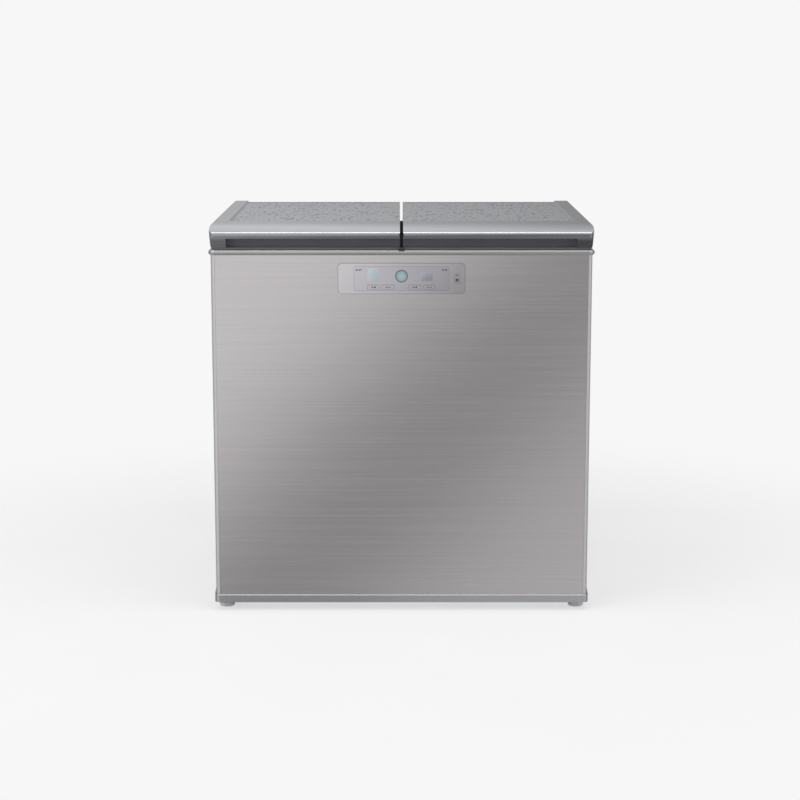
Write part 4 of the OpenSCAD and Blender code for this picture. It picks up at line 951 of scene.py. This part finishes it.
# %% [markdown]
# ## The floor
#
# The refrigerator stands on a plain pale floor that runs out into the background without a line. The floor
# has a faint unevenness of its own and turns see-through with distance, so that the pale world shows behind
# it and there is no horizon. It still takes the shadow under the cabinet. The camera sees it with a little
# light of its own, and mirror-like surfaces don't see it at all.

# %% Floor
pale_grey = srgb(247, 247, 247)
floor_size = 14
fade_start, fade_end = 0.6, 2.0
floor_glow = 0.60


def pale_floor():
    material = bpy.data.materials.new("pale_floor")
    material.use_nodes = True
    tree = material.node_tree
    tree.nodes.remove(tree.nodes["Principled BSDF"])
    paths = add(tree, "LightPath").outputs
    cloud = ranged(tree, grain(tree, 3, detail=4), 0, 1)
    seen = mixed(tree, cloud, srgb(174, 174, 174), srgb(177, 177, 177))
    shade = mixed(tree, paths["Is Camera Ray"], srgb(228, 228, 228), seen)
    matte = add(tree, "BsdfDiffuse", {"Color": shade})
    glow = math_node(tree, "MULTIPLY", paths["Is Camera Ray"], floor_glow)
    lift = add(tree, "Emission", {"Color": pale_grey, "Strength": glow})
    lit = add(tree, "AddShader", {0: matte.outputs[0], 1: lift.outputs[0]})
    clear = add(tree, "BsdfTransparent")
    distance = add(tree, "VectorMath", {0: place(tree)}, operation="LENGTH").outputs["Value"]
    far = ranged(tree, distance, 0.0, 1.0, fade_start, fade_end, "SMOOTHERSTEP")
    veil = math_node(tree, "MAXIMUM", far, paths["Is Glossy Ray"])
    blend = add(tree, "MixShader", {0: veil, 1: lit.outputs[0], 2: clear.outputs[0]})
    tree.links.new(blend.outputs[0], tree.nodes["Material Output"].inputs["Surface"])
    return material


clear_selection()
bpy.ops.mesh.primitive_grid_add(x_subdivisions=8, y_subdivisions=8, size=floor_size, location=(0, 0, 0))
floor = bpy.context.object
floor.name = floor.data.name = "studio_floor"
floor.data.materials.append(pale_floor())
print("floor", floor.dimensions[:])

# %% [markdown]
# ## World light
#
# The background is the pale grey of the photograph for everything that looks at it: the camera, mirror-like
# surfaces and clear ones. For soft light on matt surfaces the world is weaker, and the lamps do the rest.

# %% World
soft_light = (0.52, 0.52, 0.525, 1)

world = bpy.data.worlds.new("pale_studio")
bpy.context.scene.world = world
world.use_nodes = True
sky = world.node_tree
paths = add(sky, "LightPath").outputs
mirrored = math_node(sky, "MAXIMUM", paths["Is Glossy Ray"], paths["Is Transmission Ray"])
seen = math_node(sky, "MAXIMUM", paths["Is Camera Ray"], mirrored)
background = sky.nodes["Background"].inputs
background["Strength"].default_value = 1.0
sky.links.new(mixed(sky, seen, soft_light, pale_grey), background["Color"])
print("world", world.name, "soft light", soft_light[:3])

# %% [markdown]
# ## Lamps
#
# Three wide lamps give soft light without hard shadows: a long narrow one overhead, the strongest at the
# left, and one at the right that keeps that side from going dull. Each points from its place at its aim.

# %% Lamps
LAMPS = {
    "overhead_lamp": dict(at=(0.0, -0.55, 3.0), aim=(0, -0.1, 0.9), size=(3.0, 0.5), power=18),
    "left_lamp": dict(at=(-2.6, -2.8, 2.4), aim=(0, 0, 0.5), size=(2.6, 2.6), power=40),
    "right_lamp": dict(at=(2.8, -2.4, 1.8), aim=(0, 0, 0.5), size=(2.4, 2.4), power=18),
}


def soft_lamp(name, at, aim, size, power):
    data = bpy.data.lights.new(name, "AREA")
    data.shape = "RECTANGLE"
    data.size, data.size_y = size
    data.energy = power
    lamp = bpy.data.objects.new(name, data)
    bpy.context.scene.collection.objects.link(lamp)
    lamp.location = at
    lamp.rotation_euler = (Vector(aim) - Vector(at)).to_track_quat("-Z", "Y").to_euler()
    print("lamp", name, power)


for name, settings in LAMPS.items():
    soft_lamp(name, **settings)

# %% [markdown]
# ## Reflection cards
#
# Brushed steel shows little colour of its own; what is seen in it is the room. Photographers stand large
# cards round such a front and so shape what the steel reflects. The cards here give light, but only glossy
# rays see them. Each stands on a line from one end to the other, between two heights.

# %% Cards that only reflections see
def glowing(name, make_colour):
    """A material that only gives light, of the colour that the given function makes from the place."""
    material = bpy.data.materials.new(name)
    material.use_nodes = True
    tree = material.node_tree
    tree.nodes.remove(tree.nodes["Principled BSDF"])
    light = add(tree, "Emission", {"Color": make_colour(tree, position(tree)), "Strength": 1.0})
    tree.links.new(light.outputs[0], tree.nodes["Material Output"].inputs["Surface"])
    return material


def reflection_card(name, ends, heights, material):
    clear_selection()
    bpy.ops.mesh.primitive_plane_add(size=1)
    piece = bpy.context.object
    piece.name = piece.data.name = name
    corners = [(*end, height) for height in heights for end in ends]
    for vertex, corner in zip(piece.data.vertices, corners):
        vertex.co = corner
    piece.data.materials.append(material)
    for ray in ("camera", "diffuse", "transmission", "volume_scatter", "shadow"):
        setattr(piece, "visible_" + ray, False)
    print("card", name)


print("card helpers ready")

# %% [markdown]
# The front card shapes the steel. Its broad slanted bands are bright at the upper left and at the lower
# right, and darker between, as in the photograph. A colour ramp holds the levels, from the upper left to
# the lower right.

# %% Front card
BAND_LEVELS = ((0.17, 0.98), (0.30, 0.83), (0.42, 0.47), (0.56, 0.35), (0.68, 0.43), (0.80, 0.67))
band_slope = 0.96
front_card_ends = ((-1.8, -1.67), (1.8, -1.67))
front_card_low, front_card_high = -1.15, 1.45


def slanted_bands(tree, at):
    slant = math_node(tree, "SUBTRACT", at[0], math_node(tree, "MULTIPLY", at[2], band_slope))
    bands = add(tree, "ValToRGB", {0: ranged(tree, slant, 0, 1, -1.25, 0.85)})
    stops = bands.color_ramp.elements
    stops[0].position, stops[0].color = 0.0, (1.0, 0.99, 0.99, 1)
    stops[1].position, stops[1].color = 1.0, (0.74, 0.73, 0.735, 1)
    for spot, level in BAND_LEVELS:
        stops.new(spot).color = (level, level * 0.985, level * 0.985, 1)
    bands.color_ramp.interpolation = "B_SPLINE"
    return bands.outputs[0]


reflection_card("reflection_card", front_card_ends, (front_card_low, front_card_high),
                glowing("reflection_bands", slanted_bands))

# %% [markdown]
# Plainer cards finish the set. The lids are seen at a low angle and mirror what is behind them, so a rear
# card grows brighter upwards and darker towards the right. One below the front card darkens the lower faces
# of the lids' noses, one at each side darkens the edges, and two flags at the rear draw a thin dark line
# down both side edges.

# %% Side and rear cards
def plain_light(make_level):
    """Makes a card's colour from a level, with 0 for black and 1 for white."""
    return lambda tree, at: mixed(tree, make_level(tree, at), BLACK, (1, 1, 1.01, 1))


def rear_level(tree, at):
    across = ranged(tree, at[0], 1.0, 0.55, -0.6, 0.9)
    upward = ranged(tree, at[2], 0.50, 1.25, 1.2, 4.4)
    return math_node(tree, "MULTIPLY", across, upward)


def even(level):
    return lambda tree, at: ranged(tree, at[2], level * 0.97, level * 1.03, -3, 3)


CARDS = {
    "rear_card": (((-2.6, 3.2), (2.6, 3.2)), (-0.2, 5.0), rear_level),
    "lower_card": (front_card_ends, (-3.2, front_card_low - 0.01), even(0.22)),
    "right_card": (((2.4, -0.9), (2.4, 1.6)), (-2.0, 2.4), even(0.48)),
    "left_card": (((-2.4, -0.9), (-2.4, 1.6)), (-2.0, 2.4), even(0.48)),
    "right_flag": (((2.4, 1.6), (0.95, 3.1)), (-2.5, 2.0), even(0.12)),
    "left_flag": (((-2.4, 1.6), (-0.95, 3.1)), (-2.5, 2.0), even(0.20)),
}
for name, (ends, heights, make_level) in CARDS.items():
    reflection_card(name, ends, heights, glowing(name + "_light", plain_light(make_level)))
